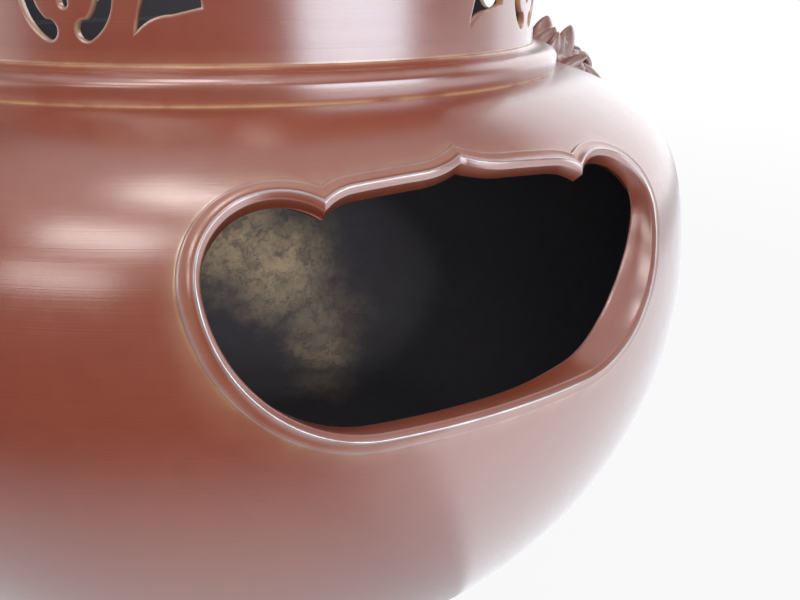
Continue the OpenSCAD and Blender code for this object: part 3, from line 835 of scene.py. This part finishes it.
def frame_rings(w):
    """Growth, height, crease and edge of each ring of the frame, from the belly over the arris to the opening."""
    rise, lip, band, bevel = w.band_rise, w.lip_rise, w.band_w, w.bevel_w
    # The edge column puts the worn colour on the frame's outer edge and its arris: rubbed bronze with a painted
    # highlight
    return [
        (band + 0.3, 0.0, 0.45, 0.0),
        (band + 0.02, 0.04, 0.6, 0.0),
        (band - 0.12, rise * 0.5, 0.45, 0.1),
        (band - 0.2, rise * 0.85, 0.1, 0.5),
        (band - 0.42, rise, 0.0, 0.6),
        (band - 0.7, rise * 0.98, 0.0, 0.3),
        (band - 1.1, rise * 0.9, 0.1, 0.0),
        (band * 0.62, rise * 0.84, 0.12, 0.0),
        (band * 0.48, rise * 0.92, 0.1, 0.0),
        (bevel + 0.7, lip * 0.8, 0.05, 0.0),
        (bevel + 0.4, lip * 0.93, 0.0, 0.6),
        (bevel + 0.12, lip, 0.0, 1.0),
        (bevel - 0.14, lip * 0.96, 0.0, 1.0),
        (bevel - 0.36, lip - 0.3, 0.0, 0.2),
        (bevel * 0.3, lip * 0.42, 0.0, 0.0),
        (0.06, lip * 0.17, 0.0, 0.15),
    ]


class FURO_OT_bowl(bpy.types.Operator):
    """Turns the bowl and works the cusped window with its frame into the wall"""

    bl_idname = "furo.bowl"
    bl_label = "Bowl"

    def execute(self, context):
        settings = context.scene.furo
        b = bowl_shape(settings)
        w = in_mm(settings.window)
        bm = bmesh.new()
        crease, edge, cut = (bm.verts.layers.float.new(name) for name in ("crease", "edge", "cut"))
        turned(bm, bowl_profile(b))
        crown_z = b.neck_z - b.neck_rise
        holes = []
        for f in bm.faces:
            co = f.calc_center_median()
            out = offset_of(b, co)
            phi, s = along_of(b, co)
            in_patch = abs(phi) < math.radians(PATCH_COLUMNS) and PATCH_LOW < s < PATCH_HIGH and co.z < crown_z
            if in_patch and min(abs(out), abs(out + b.wall)) < 0.5:
                holes.append(f)
        bmesh.ops.delete(bm, geom=holes, context="FACES")
        border = patch_border()
        outer, inner = (ring_of(bm, [on_wall(b, phi, s, out) for phi, s in border]) for out in (0, -b.wall))

        def ease_in(ring, target, out, rings, halo):
            """Rings that lead from the patch's border to a loop on the wall, the last of them with a tan halo."""
            to = [along_of(b, p) for p in target]
            for k in range(1, rings + 1):
                t = 1 - (1 - k / rings) ** 1.6
                places = [
                    on_wall(b, p[0] + (q[0] - p[0]) * t, p[1] + (q[1] - p[1]) * t, out) for p, q in zip(border, to)
                ]
                ring = pull(bm, ring, target if k == rings else places)
                for v in ring:
                    v[crease] = halo.get(k, 0.0)
            return ring

        ring = None
        for grow, out, kept, rubbed_and_lit in frame_rings(w):
            loop = window_loop(b, w, grow, out)
            ring = pull(bm, ring, loop) if ring else ease_in(outer, loop, 0.0, 12, HALO)
            for v in ring:
                v[crease], v[edge] = kept, rubbed_and_lit
        # The cut through the wall runs square to it, and its back edge is eased
        rim = window_loop(b, w, 0.0, 0.0)
        middle = sum(rim, Vector()) / len(rim)
        for depth, spread, rubbed_and_lit in CUT_RINGS:
            places = [cut_place(p, wall_normal(b, p), middle, b.wall, depth, spread) for p in rim]
            ring = pull(bm, ring, places)
            for v in ring:
                v[crease], v[edge], v[cut] = 0.0, rubbed_and_lit, 1.0
        last = ease_in(inner, places, -b.wall, 8, {})
        bmesh.ops.remove_doubles(bm, verts=ring + last, dist=0.02)
        # Tan stays in the creases at the bead's foot and round the ledge, and a band of the worn colour round the
        # bead's upper round is a painted highlight
        foot = bead_foot(b)[0]
        for v in bm.verts:
            r, z = math.hypot(v.co.x, v.co.y), v.co.z
            if r > b.collar_r - 3 and z > b.belly_z + 60:
                to_foot = math.hypot(r - foot.x, z - foot.y)
                to_ledge = math.hypot(r - b.collar_r - 0.5, z - b.neck_z)
                v[crease] = max(v[crease], 0.9 * bump_at(to_foot, 0, 0.8), 0.9 * bump_at(to_ledge, 0, 0.7))
                v[edge] = max(v[edge], 0.2 * bump_at(r - b.bead_c.x, 3.4, 1.2) * (z > b.neck_z - 8))
        # The inside is dark, but not the cut
        for f in bm.faces:
            co = f.calc_center_median()
            within = offset_of(b, co) < 0.5 - b.wall and b.floor_in - 0.5 < co.z < crown_z - b.wall + 0.3
            f.material_index = 1 if within and min(v[cut] for v in f.verts) < 0.5 else 0
        skins = [turned_bronze(settings), inside_material(settings)]
        finish_piece("bowl_turned", bm, skins, "brazier", ["bowl"], 50)
        return {"FINISHED"}


def leaf_loop():
    """One leaf opening: a tip at the lower left, a humped lower edge and a point at the right."""
    back_c, back_r = (50.8, -6.6), 61.0
    front_c, front_r = (-8.4, 13.9), 16.7
    hump_c, hump_r = (0.9, -0.4), 12.5
    tip = crossing(back_c, back_r, hump_c, hump_r)
    crest = crossing(back_c, back_r, front_c, front_r)
    hump_end = (hump_c[0], hump_c[1] + hump_r)
    slope = 2.5 / 11.1
    # The lower edge's straight end meets the front arc
    tail_x = 8.1
    for _ in range(20):
        tail_y = hump_end[1] + slope * (tail_x - hump_end[0])
        tail_x = front_c[0] + math.sqrt(front_r**2 - (tail_y - front_c[1]) ** 2)
    tail = (tail_x, tail_y)
    start = angle_to(back_c, crest)
    points = arc(hump_c, hump_r, angle_to(hump_c, tip), math.pi / 2, 10) + run(hump_end, tail, 5)
    points += arc(front_c, front_r, angle_to(front_c, tail), angle_to(front_c, crest), 14)
    return points + arc(back_c, back_r, start, ahead(start, angle_to(back_c, tip)), 16)


def slot_loop(c, side):
    """One of the two bulb-ended slots of the ring, on the right (1) or the left (-1)."""
    mid_r = c.medal_r - c.slot_w
    bulb_x = c.stem_w + c.bulb_r - 0.2
    bulb_y = math.sqrt((c.medal_r - c.bulb_r) ** 2 - bulb_x**2)
    turn = math.atan2(bulb_y, bulb_x)
    upper, lower = (bulb_x, bulb_y), (bulb_x, -bulb_y)
    joint = crossing((0, 0), mid_r, upper, c.bulb_r)
    away = angle_to((0, 0), joint)
    start = angle_to(lower, (joint[0], -joint[1]))
    points = arc((0, 0), c.medal_r, -turn, turn, 26)
    points += arc(upper, c.bulb_r, turn, ahead(turn, angle_to(upper, joint)), 14)
    points += arc((0, 0), mid_r, away, -away, 18)
    points += arc(lower, c.bulb_r, start, ahead(start, -turn), 14)
    if side < 0:
        points = [(-x, y) for x, y in reversed(points)]
    return [(x, y + c.medal_z) for x, y in points]


def slit_loop(c):
    """The round-ended slit in the ring's middle."""
    r, up = c.slit_w / 2, c.slit_h / 2 - c.slit_w / 2
    points = arc((0, up), r, 0, math.pi, 8) + arc((0, -up), r, math.pi, 2 * math.pi, 8)
    return [(x, y + c.medal_z) for x, y in points]


def grown(loop, by):
    """A counter-clockwise loop moved outwards, with short points at its corners."""
    moved = []
    n = len(loop)
    for i, p in enumerate(loop):
        before = Vector(p) - Vector(loop[i - 1])
        after = Vector(loop[(i + 1) % n]) - Vector(p)
        a = Vector((before.y, -before.x)).normalized()
        c = Vector((after.y, -after.x)).normalized()
        way = a + c
        reach = min(1 / max(0.2, 0.5 * way.length), 1.9)
        moved.append(tuple(Vector(p) + way.normalized() * by * reach))
    return moved


def panel_loops(c, collar_r):
    """The openings of a front panel: the ring of slots with its slit, and a leaf on either side."""
    loops = [slot_loop(c, 1), slot_loop(c, -1), slit_loop(c)]
    for away in (c.leaf_right, -c.leaf_left):
        loops.append([(x + away * collar_r, y) for x, y in leaf_loop()])
    return loops


def openwork_panel(c, collar_r, low, high, half_deg, loops):
    """A bent panel of the collar's wall with its openings and their rounded edges, as a mesh."""
    per_degree = math.radians(1) * collar_r
    width = half_deg * per_degree
    bm = bmesh.new()
    crease, edge = (bm.verts.layers.float.new(name) for name in ("crease", "edge"))
    r, wall = c.round_r, c.wall
    # Growth and depth of the rings through each opening, and the rubbed edge with its painted highlight and the tan cut
    # they get
    rings = [(r * 1.7, 0.0, 0.0, 0.0), (r, 0.01, 0.15, 0.1), (r * 0.3, r * 0.25, 0.35, 0.5), (0.0, r, 0.1, 1.0)]
    rings += [(0.0, wall * 0.5, 0.0, 0.9), (0.0, wall - r, 0.0, 0.9), (r * 0.3, wall - r * 0.25, 0.3, 0.5)]
    rings += [(r, wall - 0.01, 0.2, 0.0), (r * 1.7, wall, 0.0, 0.0)]

    def fill(depth, rims):
        """Fills the sheet between the panel's border and the openings."""
        corners = ((-width, low), (width, low), (width, high), (-width, high))
        borders = edges_of_new(bm, [bm.verts.new((x, y, depth)) for x, y in corners])
        bmesh.ops.triangle_fill(bm, use_beauty=True, edges=borders + [e for rim in rims for e in edges_of(bm, rim)])

    front, back = [], []
    for loop in loops:
        ring = [bm.verts.new((x, y, 0)) for x, y in grown(loop, rings[0][0])]
        edges_of_new(bm, ring)
        front.append(ring)
        for grow, depth, rubbed_and_lit, kept in rings:
            if depth > 0:
                ring = pull(bm, ring, [(x, y, depth) for x, y in grown(loop, grow)])
            for v in ring:
                v[crease], v[edge] = kept, rubbed_and_lit
        back.append(ring)
    fill(0.0, front)
    fill(wall, back)
    # The sheet is divided into columns of one degree and bent round the axis
    for k in range(1 - half_deg, half_deg):
        geom = bm.verts[:] + bm.edges[:] + bm.faces[:]
        bmesh.ops.bisect_plane(bm, geom=geom, dist=0.0005, plane_co=(k * per_degree, 0, 0), plane_no=(1, 0, 0))
    for v in bm.verts:
        phi = v.co.x / collar_r
        radius = collar_r - v.co.z
        v.co = Vector((radius * math.sin(phi), -radius * math.cos(phi), v.co.y))
    mesh = bpy.data.meshes.new("panel")
    bm.to_mesh(mesh)
    bm.free()
    return mesh


class FURO_OT_collar(bpy.types.Operator):
    """Turns the collar and sets the pierced panels into its wall"""

    bl_idname = "furo.collar"
    bl_label = "Collar"

    def execute(self, context):
        settings = context.scene.furo
        c = in_mm(settings.collar)
        outer = c.width / 2
        inner = outer - c.wall
        mouth = inner - c.rest_w
        spigot_in = c.spigot_r - c.spigot_t
        low, high = c.foot_t + 1.2, c.height - c.rest_h - 1.5
        top, rest, foot, end = c.height, c.height - c.rest_h, c.foot_t, -c.spigot_h
        roll = (outer + 0.05, top - c.roll_r - 0.2)
        profile = [(outer, z) for z in (0.05, 0.3, 0.7, low, high, roll[1] - c.roll_r - 0.4)]
        profile += arc(roll, c.roll_r, -math.pi / 2, math.pi / 2, 12) + [(roll[0], roll[1] + c.roll_r)]
        profile += [(outer - EASE, top), (mouth + EASE, top), (mouth + 0.18, top - 0.18), (mouth, top - EASE)]
        profile += [(mouth, rest + EASE), (mouth + 0.18, rest + 0.18), (mouth + EASE, rest)]
        profile += [(inner - EASE, rest), (inner, rest - EASE), (inner, high), (inner, low)]
        profile += [(inner, foot + EASE), (inner - EASE, foot), (spigot_in + EASE, foot), (spigot_in, foot - EASE)]
        profile += [(spigot_in, end + EASE), (spigot_in + EASE, end), (c.spigot_r - EASE, end)]
        profile += [(c.spigot_r, end + EASE), (c.spigot_r, 0.05)]
        bm = bmesh.new()
        turned(bm, profile, closed=True)
        # Middle and half width of each panel in whole degrees, and its openings
        panel = round(math.degrees(c.panel_angle))
        panels = [(m, PANEL_HALF, panel_loops(c, outer)) for m in (-panel, panel)]
        for a in (-c.side_hole, c.side_hole, c.back_hole, c.back_hole + c.back_pitch):
            m = round(math.degrees(a))
            hole = arc(((a - math.radians(m)) * outer, c.hole_z), c.hole_r, 0, 2 * math.pi, 44)
            panels.append((m, HOLE_HALF, [hole]))
        gone = []
        for f in bm.faces:
            co = f.calc_center_median()
            phi = math.degrees(math.atan2(co.x, -co.y))
            if low < co.z < high and any(abs((phi - m + 180) % 360 - 180) < half for m, half, _ in panels):
                gone.append(f)
        bmesh.ops.delete(bm, geom=gone, context="FACES")

        def masks(v):
            """Tan at the foot outside, and a rubbed rim with a painted highlight."""
            r = math.hypot(v.co.x, v.co.y)
            kept = 0.9 * bump_at(v.co.z, 0.0, 0.5) * (r > outer - 1)
            return kept, 0.5 * bump_at(v.co.z, top, 0.3) + 0.35 * bump_at(r, outer + c.roll_r, 0.4)

        paint(bm, masks)
        for m, half, loops in panels:
            panel = openwork_panel(c, outer, low, high, half, loops)
            known = len(bm.verts)
            bm.from_mesh(panel)
            bm.verts.ensure_lookup_table()
            turn_about(bm, bm.verts[known:], math.radians(m))
            bpy.data.meshes.remove(panel)
        bmesh.ops.remove_doubles(bm, verts=bm.verts, dist=0.004)
        # The wall is dark inside, up to the kettle rest
        for f in bm.faces:
            co = f.calc_center_median()
            f.material_index = 1 if math.hypot(co.x, co.y) < inner + 0.25 and co.z < rest + 0.1 else 0
        # The collar is made straight and turned as a whole when it is finished
        bmesh.ops.translate(bm, vec=(0, 0, in_mm(settings.bowl).neck_z), verts=bm.verts)
        turn_about(bm, bm.verts, c.turn)
        skins = [turned_bronze(settings), inside_material(settings)]
        finish_piece("collar_pierced", bm, skins, "brazier", ["collar"], 38)
        return {"FINISHED"}


def lug_frame(b, slope):
    """The seat of the right-hand mask: x along the belly, y up the shoulder, z out of it."""
    seat = b.crown_c + b.crown_r * Vector((math.cos(slope), math.sin(slope)))
    turn = Matrix.Rotation(math.pi / 2, 4, "Z") @ Matrix.Rotation(math.pi / 2 - slope, 4, "X")
    return Matrix.Translation((seat.x, 0, seat.y)) @ turn


def placed(place, turn):
    """The matrix of a place and of turns about x, then y, then z."""
    spin = Matrix.Rotation(turn[2], 4, "Z") @ Matrix.Rotation(turn[1], 4, "Y") @ Matrix.Rotation(turn[0], 4, "X")
    return Matrix.Translation(place) @ spin


def lump(bm, place, size, turn):
    """An ellipsoid of the sculpted mask."""
    where = placed(place, turn) @ Matrix.Diagonal((*size, 1))
    bmesh.ops.create_uvsphere(bm, u_segments=24, v_segments=16, radius=1, matrix=where)


def lock(bm, place, turn, size, bend):
    """A pointed lock of the mane that stands out of the mask."""
    verts = bmesh.ops.create_uvsphere(bm, u_segments=20, v_segments=24, radius=1)["verts"]
    for v in verts:
        t = v.co.z
        broad = (1 - abs(t) ** 2.2) ** 0.75 / math.sqrt(max(1e-9, 1 - t * t))
        v.co.x *= broad * size[0] / 2
        v.co.y = v.co.y * broad * size[1] / 2 + bend * max(t, 0) ** 2
        v.co.z *= size[2] / 2
    bmesh.ops.transform(bm, matrix=placed(place, [math.radians(a) for a in turn]), verts=verts)


class FURO_OT_lugs(bpy.types.Operator):
    """Sculpts the two beast-mask lugs"""

    bl_idname = "furo.lugs"
    bl_label = "Mask lugs"

    def execute(self, context):
        settings = context.scene.furo
        b = bowl_shape(settings)
        g = in_mm(settings.lug)
        for name, turn in SIDES:
            bm = bmesh.new()
            self.sculpt(bm, g)
            bmesh.ops.transform(bm, matrix=lug_frame(b, g.slope), verts=bm.verts)
            # The underside follows the shoulder and stays within the wall
            for v in bm.verts:
                for _ in range(3):
                    deep = offset_of(b, v.co) + MASK_SINK
                    if deep < 0:
                        v.co -= deep * wall_normal(b, v.co)
            turn_about(bm, bm.verts, turn)
            skins = [cast_bronze(settings)]
            lug = finish_piece("lug_mask_" + name, bm, skins, "brazier", ["lug_" + name], 180)
            remesh = lug.modifiers.new("Sculpt", "REMESH")
            remesh.mode = "VOXEL"
            remesh.voxel_size = settings.lug.grain
            remesh.use_smooth_shade = True
            soften = lug.modifiers.new("Soften", "SMOOTH")
            soften.factor = 0.5
            soften.iterations = 8
        return {"FINISHED"}

    def sculpt(self, bm, g):
        """The mask in its own frame: skull, brows, eyes, nose, cheeks, muzzle, jaw and mane."""
        for place, size, turn in MIDDLE_LUMPS:
            lump(bm, place, size, turn)
        lock(bm, (0, 10.5, 9), (-12, 0, 0), (9.5, 12.5, 26), 0.8)
        # The muzzle is a short tube that bites the ring
        end, bore, r = g.muzzle_l / 2, g.bar_r + g.ring_gap, g.muzzle_r
        profile = [(-end, bore + 0.4), (-end, r - 1.2), (1.2 - end, r), (end - 1.2, r)]
        profile += [(end, r - 1.2), (end, bore + 0.4), (end - 0.4, bore), (0.4 - end, bore)]
        middle = Vector((0, -g.muzzle_drop, g.muzzle_rise))
        verts = [bm.verts.new(middle + Vector((x, 0, z))) for x, z in profile]
        spun(bm, verts + edges_of_new(bm, verts), 48, (1, 0, 0), middle)
        for side in (1, -1):
            for place, size, turn in SIDE_LUMPS:
                lump(bm, (side * place[0], *place[1:]), size, (turn[0], side * turn[1], side * turn[2]))
            for place, turn, size, bend in LOCKS:
                lock(bm, (side * place[0], *place[1:]), (turn[0], side * turn[1], side * turn[2]), size, bend)


class FURO_OT_rings(bpy.types.Operator):
    """Makes the two swinging rings"""

    bl_idname = "furo.rings"
    bl_label = "Rings"

    def execute(self, context):
        settings = context.scene.furo
        g = in_mm(settings.lug)
        pivot = lug_frame(bowl_shape(settings), g.slope) @ Vector((0, -g.muzzle_drop, g.muzzle_rise))
        upright = Matrix.Rotation(math.pi / 2, 4, "Y")
        hung = Matrix.Translation(pivot) @ Matrix.Rotation(-g.lean, 4, "Y") @ Matrix.Translation((0, 0, -g.ring_r))
        for name, turn in SIDES:
            bm = bmesh.new()
            where = Matrix.Translation((0, g.ring_r, 0)) @ upright
            bmesh.ops.create_circle(bm, segments=32, radius=g.bar_r, matrix=where)
            spun(bm, bm.verts[:] + bm.edges[:], 128)
            # The bar's outer round gets the worn colour: rubbed bronze with a painted highlight
            paint(bm, lambda v: (0.0, 0.35 * bump_at(math.hypot(v.co.x, v.co.y), g.ring_r + g.bar_r, 1.2)))
            bmesh.ops.transform(bm, matrix=hung @ upright, verts=bm.verts)
            turn_about(bm, bm.verts, turn)
            ring = "ring_" + name
            finish_piece(ring + "_bar", bm, [cast_bronze(settings)], ring, [ring])
        return {"FINISHED"}


class FURO_OT_legs(bpy.types.Operator):
    """Turns the three feet and fits them to the bowl's underside"""

    bl_idname = "furo.legs"
    bl_label = "Feet"

    def execute(self, context):
        settings = context.scene.furo
        b = bowl_shape(settings)
        g = in_mm(settings.leg)

        def girth(z):
            """Radius of the waisted foot at a height."""
            return g.waist + g.curve - math.sqrt(g.curve**2 - (z - g.waist_z) ** 2)

        sole = girth(0) - g.sole_c
        low, high, top = g.sole_c * 1.3, b.base_z - 2, b.base_z + 1
        profile = [(r, top) for r in (15.0, 12.0, 8.0, g.hole_r)]
        profile += [(g.hole_r, g.pocket), (g.pocket_r - 0.4, g.pocket), (g.pocket_r, g.pocket - 0.4)]
        profile += [(g.pocket_r, 0.5), (g.pocket_r + 0.5, 0), (sole - 0.8, 0), (sole, 0.15)]
        profile += [(sole + 0.55 * (girth(low) - sole), 0.7), (girth(low) - 0.15, low - 0.5)]
        profile += [(girth(z), z) for z in (low + (high - low) * k / 30 for k in range(31))]
        profile += [(girth(b.base_z), top)]
        flat_r = b.low_c.x + math.sqrt(b.lower_r**2 - (b.belly_z - b.base_z) ** 2)
        for name, turn in (("front", 0), ("right", 120), ("left", 240)):
            bm = bmesh.new()
            turned(bm, profile, steps=96, closed=True)
            bmesh.ops.translate(bm, vec=(0, -g.pitch, 0), verts=bm.verts)
            # The top is laid against the bowl's flat underside and its curve
            for v in bm.verts:
                if v.co.z > b.base_z + 0.5:
                    r = math.hypot(v.co.x, v.co.y)
                    v.co.z = b.base_z
                    if r > flat_r:
                        v.co.z = b.belly_z - math.sqrt(b.lower_r**2 - (r - b.low_c.x) ** 2)
            # The sole's edge gets the worn colour: rubbed bronze with a painted highlight
            paint(bm, lambda v: (0.5 * bump_at(v.co.z, b.base_z, 2.0), 0.5 * bump_at(v.co.z, 1.0, 1.2)))
            turn_about(bm, bm.verts, math.radians(turn))
            leg = "leg_" + name
            finish_piece(leg + "_turned", bm, [cast_bronze(settings)], "brazier", [leg])
        return {"FINISHED"}


class FURO_OT_fasteners(bpy.types.Operator):
    """Gives the screws and washers their iron"""

    bl_idname = "furo.fasteners"
    bl_label = "Fasteners"

    def execute(self, context):
        iron = iron_material(context.scene.furo)
        for name in ("lug_screws", "lug_washers", "leg_screws", "leg_washers"):
            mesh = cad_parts[name].data
            mesh.materials.clear()
            mesh.materials.append(iron)
        return {"FINISHED"}


class FURO_OT_stage(bpy.types.Operator):
    """Sets the floor, the light and the camera"""

    bl_idname = "furo.stage"
    bl_label = "Stage"

    def execute(self, context):
        scene = context.scene
        scene.view_settings.view_transform = "Standard"
        self.floor(scene)
        self.world(scene)
        self.lamps(scene)
        self.camera(scene)
        return {"FINISHED"}

    def floor(self, scene):
        """A wide pale floor that is white to the camera but keeps the shadow."""
        bm = bmesh.new()
        bmesh.ops.create_grid(bm, x_segments=1, y_segments=1, size=6.0)
        mesh = bpy.data.meshes.new("floor")
        bm.to_mesh(mesh)
        bm.free()
        floor = bpy.data.objects.new("floor", mesh)
        scene.collection.objects.link(floor)
        material = bpy.data.materials.new("Floor")
        mesh.materials.append(material)
        material.use_nodes = True
        # Its light differs by kind of ray, so that it isn't sampled as a lamp
        material.cycles.emission_sampling = "NONE"
        tree = material.node_tree
        shader, out = (next(n for n in tree.nodes if n.type == kind) for kind in ("BSDF_PRINCIPLED", "OUTPUT_MATERIAL"))
        path = node(tree, "ShaderNodeLightPath").outputs
        mirrored = path["Is Glossy Ray"]
        place = node(tree, "ShaderNodeTexCoord").outputs["Object"]
        away = vector_node(tree, "LENGTH", place)["Value"]
        split = node(tree, "ShaderNodeSeparateXYZ", {0: place}).outputs
        # Little light comes back up from the sheet, so that the underside stays dark
        pale = scene.furo.finish.floor
        back = mix_colour(tree, path["Is Diffuse Ray"], pale, [0.15 * c for c in pale])
        feed(tree, shader, {"Base Color": back, "Roughness": 0.9})
        # To the metal the sheet is white round the object, at the right and behind, and in shade in front at the left
        near = ramp(tree, away, 0.12, 0.50, 1.0, 0.02)
        right = ramp(tree, split["X"], -0.14, 0.04, 0.02, 1.0)
        behind = ramp(tree, split["Y"], 0.1, 0.5, 0.02, 1.0)
        lit = math_node(tree, "MAXIMUM", near, math_node(tree, "MAXIMUM", right, behind))
        sheet = mix_colour(tree, lit, (0.0, 0.0, 0.0), (0.86, 0.95, 1.0))
        shown = mix_colour(tree, mirrored, WHITE, sheet)
        glow = node(tree, "ShaderNodeEmission", {"Color": shown, "Strength": 1.0})
        seen = math_node(tree, "MAXIMUM", path["Is Camera Ray"], mirrored)
        seen = math_node(tree, "MAXIMUM", seen, path["Is Transmission Ray"])
        strong = math_node(tree, "MAXIMUM", ramp(tree, away, 0.4, 1.6, 0.9, 1.0), mirrored)
        blend = mix_shaders(tree, math_node(tree, "MULTIPLY", seen, strong), shader, glow)
        feed(tree, out, {"Surface": blend.outputs[0]})

    def world(self, scene):
        """White behind the object, a dimmer room in front of it."""
        world = bpy.data.worlds.new("Studio")
        scene.world = world
        world.use_nodes = True
        # Its light differs by kind of ray, so that it isn't sampled as a lamp
        world.cycles.sampling_method = "NONE"
        tree = world.node_tree
        tree.nodes.clear()
        path = node(tree, "ShaderNodeLightPath").outputs
        way = node(tree, "ShaderNodeTexCoord").outputs["Generated"]
        upward = node(tree, "ShaderNodeSeparateXYZ", {0: way}).outputs["Z"]
        level = ramp(tree, upward, 0.55, 0.85, 0.0, 0.58)
        for side, low, high in ROOM_SIDES:
            facing = vector_node(tree, "DOT_PRODUCT", way, side)["Value"]
            level = math_node(tree, "MAXIMUM", level, ramp(tree, facing, low, high))
        # Soft light comes more from the sides than from overhead
        soft_level = ramp(tree, upward, 0.0, 0.8, 0.8, 0.35)
        room, soft, white = (
            node(tree, "ShaderNodeBackground", {"Color": tint, "Strength": strength})
            for tint, strength in (
                (mix_colour(tree, level, (0.02, 0.02, 0.022), (0.92, 0.97, 1.0)), 1.0),
                ((*WHITE, 1), soft_level),
                ((*WHITE, 1), 1.0),
            )
        )
        seen = math_node(tree, "MAXIMUM", path["Is Camera Ray"], path["Is Transmission Ray"])
        lit = mix_shaders(tree, path["Is Glossy Ray"], soft, room)
        node(tree, "ShaderNodeOutputWorld", {"Surface": mix_shaders(tree, seen, lit, white).outputs[0]})

    def lamp(self, scene, data, place, way):
        """Puts a lamp in its place, with its back along a way."""
        lamp = bpy.data.objects.new(data.name, data)
        lamp.location = place
        lamp.rotation_euler = way.to_track_quat("Z", "Y").to_euler()
        scene.collection.objects.link(lamp)
        return lamp

    def lamps(self, scene):
        """Lamps, windows and a bright table that show in the metal, and a lamp that shines through the mouth."""
        target = Vector((0, 0, 0.2))
        for name, place, size, glow, tint in LAMPS:
            data = bpy.data.lights.new(name, "AREA")
            data.shape = "RECTANGLE"
            data.size, data.size_y = size
            data.energy = glow * math.pi * size[0] * size[1]
            data.color = tint
            way = Vector((0, 0, -1)) if name == "table" else Vector(place) - target
            lamp = self.lamp(scene, data, place, way)
            lamp.visible_camera = False
            lamp.visible_diffuse = name == "fill"
            lamp.visible_glossy = name != "fill"
        # A narrow lamp shines through the mouth on the far wall
        data = bpy.data.lights.new("mouth", "SPOT")
        data.energy = 18.0
        data.spot_size = math.radians(13)
        data.spot_blend = 1.0
        data.shadow_soft_size = 0.07
        way = Vector((-0.18, -0.58, 0.80)).normalized()
        self.lamp(scene, data, Vector((0.05, 0.13, 0.10)) + 1.1 * way, way)

    def camera(self, scene):
        """The camera where the photographer's stood, close to the window and just above the neck."""
        data = bpy.data.cameras.new("camera")
        data.sensor_fit = "HORIZONTAL"
        data.sensor_width = 36.0
        data.lens = 35.285
        data.clip_start = 0.01
        camera = bpy.data.objects.new("camera", data)
        right = Vector((0.865026, -0.501711, 0.004038))
        up = Vector((0.186720, 0.329384, 0.925550))
        back = right.cross(up)
        turn = Matrix((right, up, back)).transposed().to_4x4()
        camera.matrix_world = Matrix.Translation((-0.105189, -0.297045, 0.258270)) @ turn
        scene.collection.objects.link(camera)
        scene.camera = camera


class FURO_PT_panel(bpy.types.Panel):
    """Sizes and colours of the brazier, and the pieces to make"""

    bl_idname = "FURO_PT_panel"
    bl_label = "Furo brazier"
    bl_space_type = "VIEW_3D"
    bl_region_type = "UI"
    bl_category = "Furo"

    def draw(self, context):
        settings = context.scene.furo
        for operator in STEPS:
            self.layout.operator(operator.bl_idname)
        for name in ("bowl", "window", "collar", "lug", "leg", "finish"):
            group = getattr(settings, name)
            box = self.layout.box()
            box.label(text=name.capitalize())
            for prop in group.bl_rna.properties:
                if prop.identifier not in {"rna_type", "name"}:
                    box.prop(group, prop.identifier)


STEPS = (FURO_OT_bowl, FURO_OT_collar, FURO_OT_lugs, FURO_OT_rings, FURO_OT_legs, FURO_OT_fasteners, FURO_OT_stage)
CLASSES = (FuroBowl, FuroWindow, FuroCollar, FuroLug, FuroLeg, FuroFinish, FuroSettings, *STEPS, FURO_PT_panel)


def register():
    """Registers the add-on."""
    for cls in CLASSES:
        bpy.utils.register_class(cls)
    bpy.types.Scene.furo = bpy.props.PointerProperty(type=FuroSettings)


def unregister():
    """Takes the add-on out again."""
    del bpy.types.Scene.furo
    for cls in reversed(CLASSES):
        bpy.utils.unregister_class(cls)


def main():
    """Builds the brazier."""
    register()
    for step in STEPS:
        group, name = step.bl_idname.split(".")
        getattr(getattr(bpy.ops, group), name)()


if __name__ == "__main__":
    main()
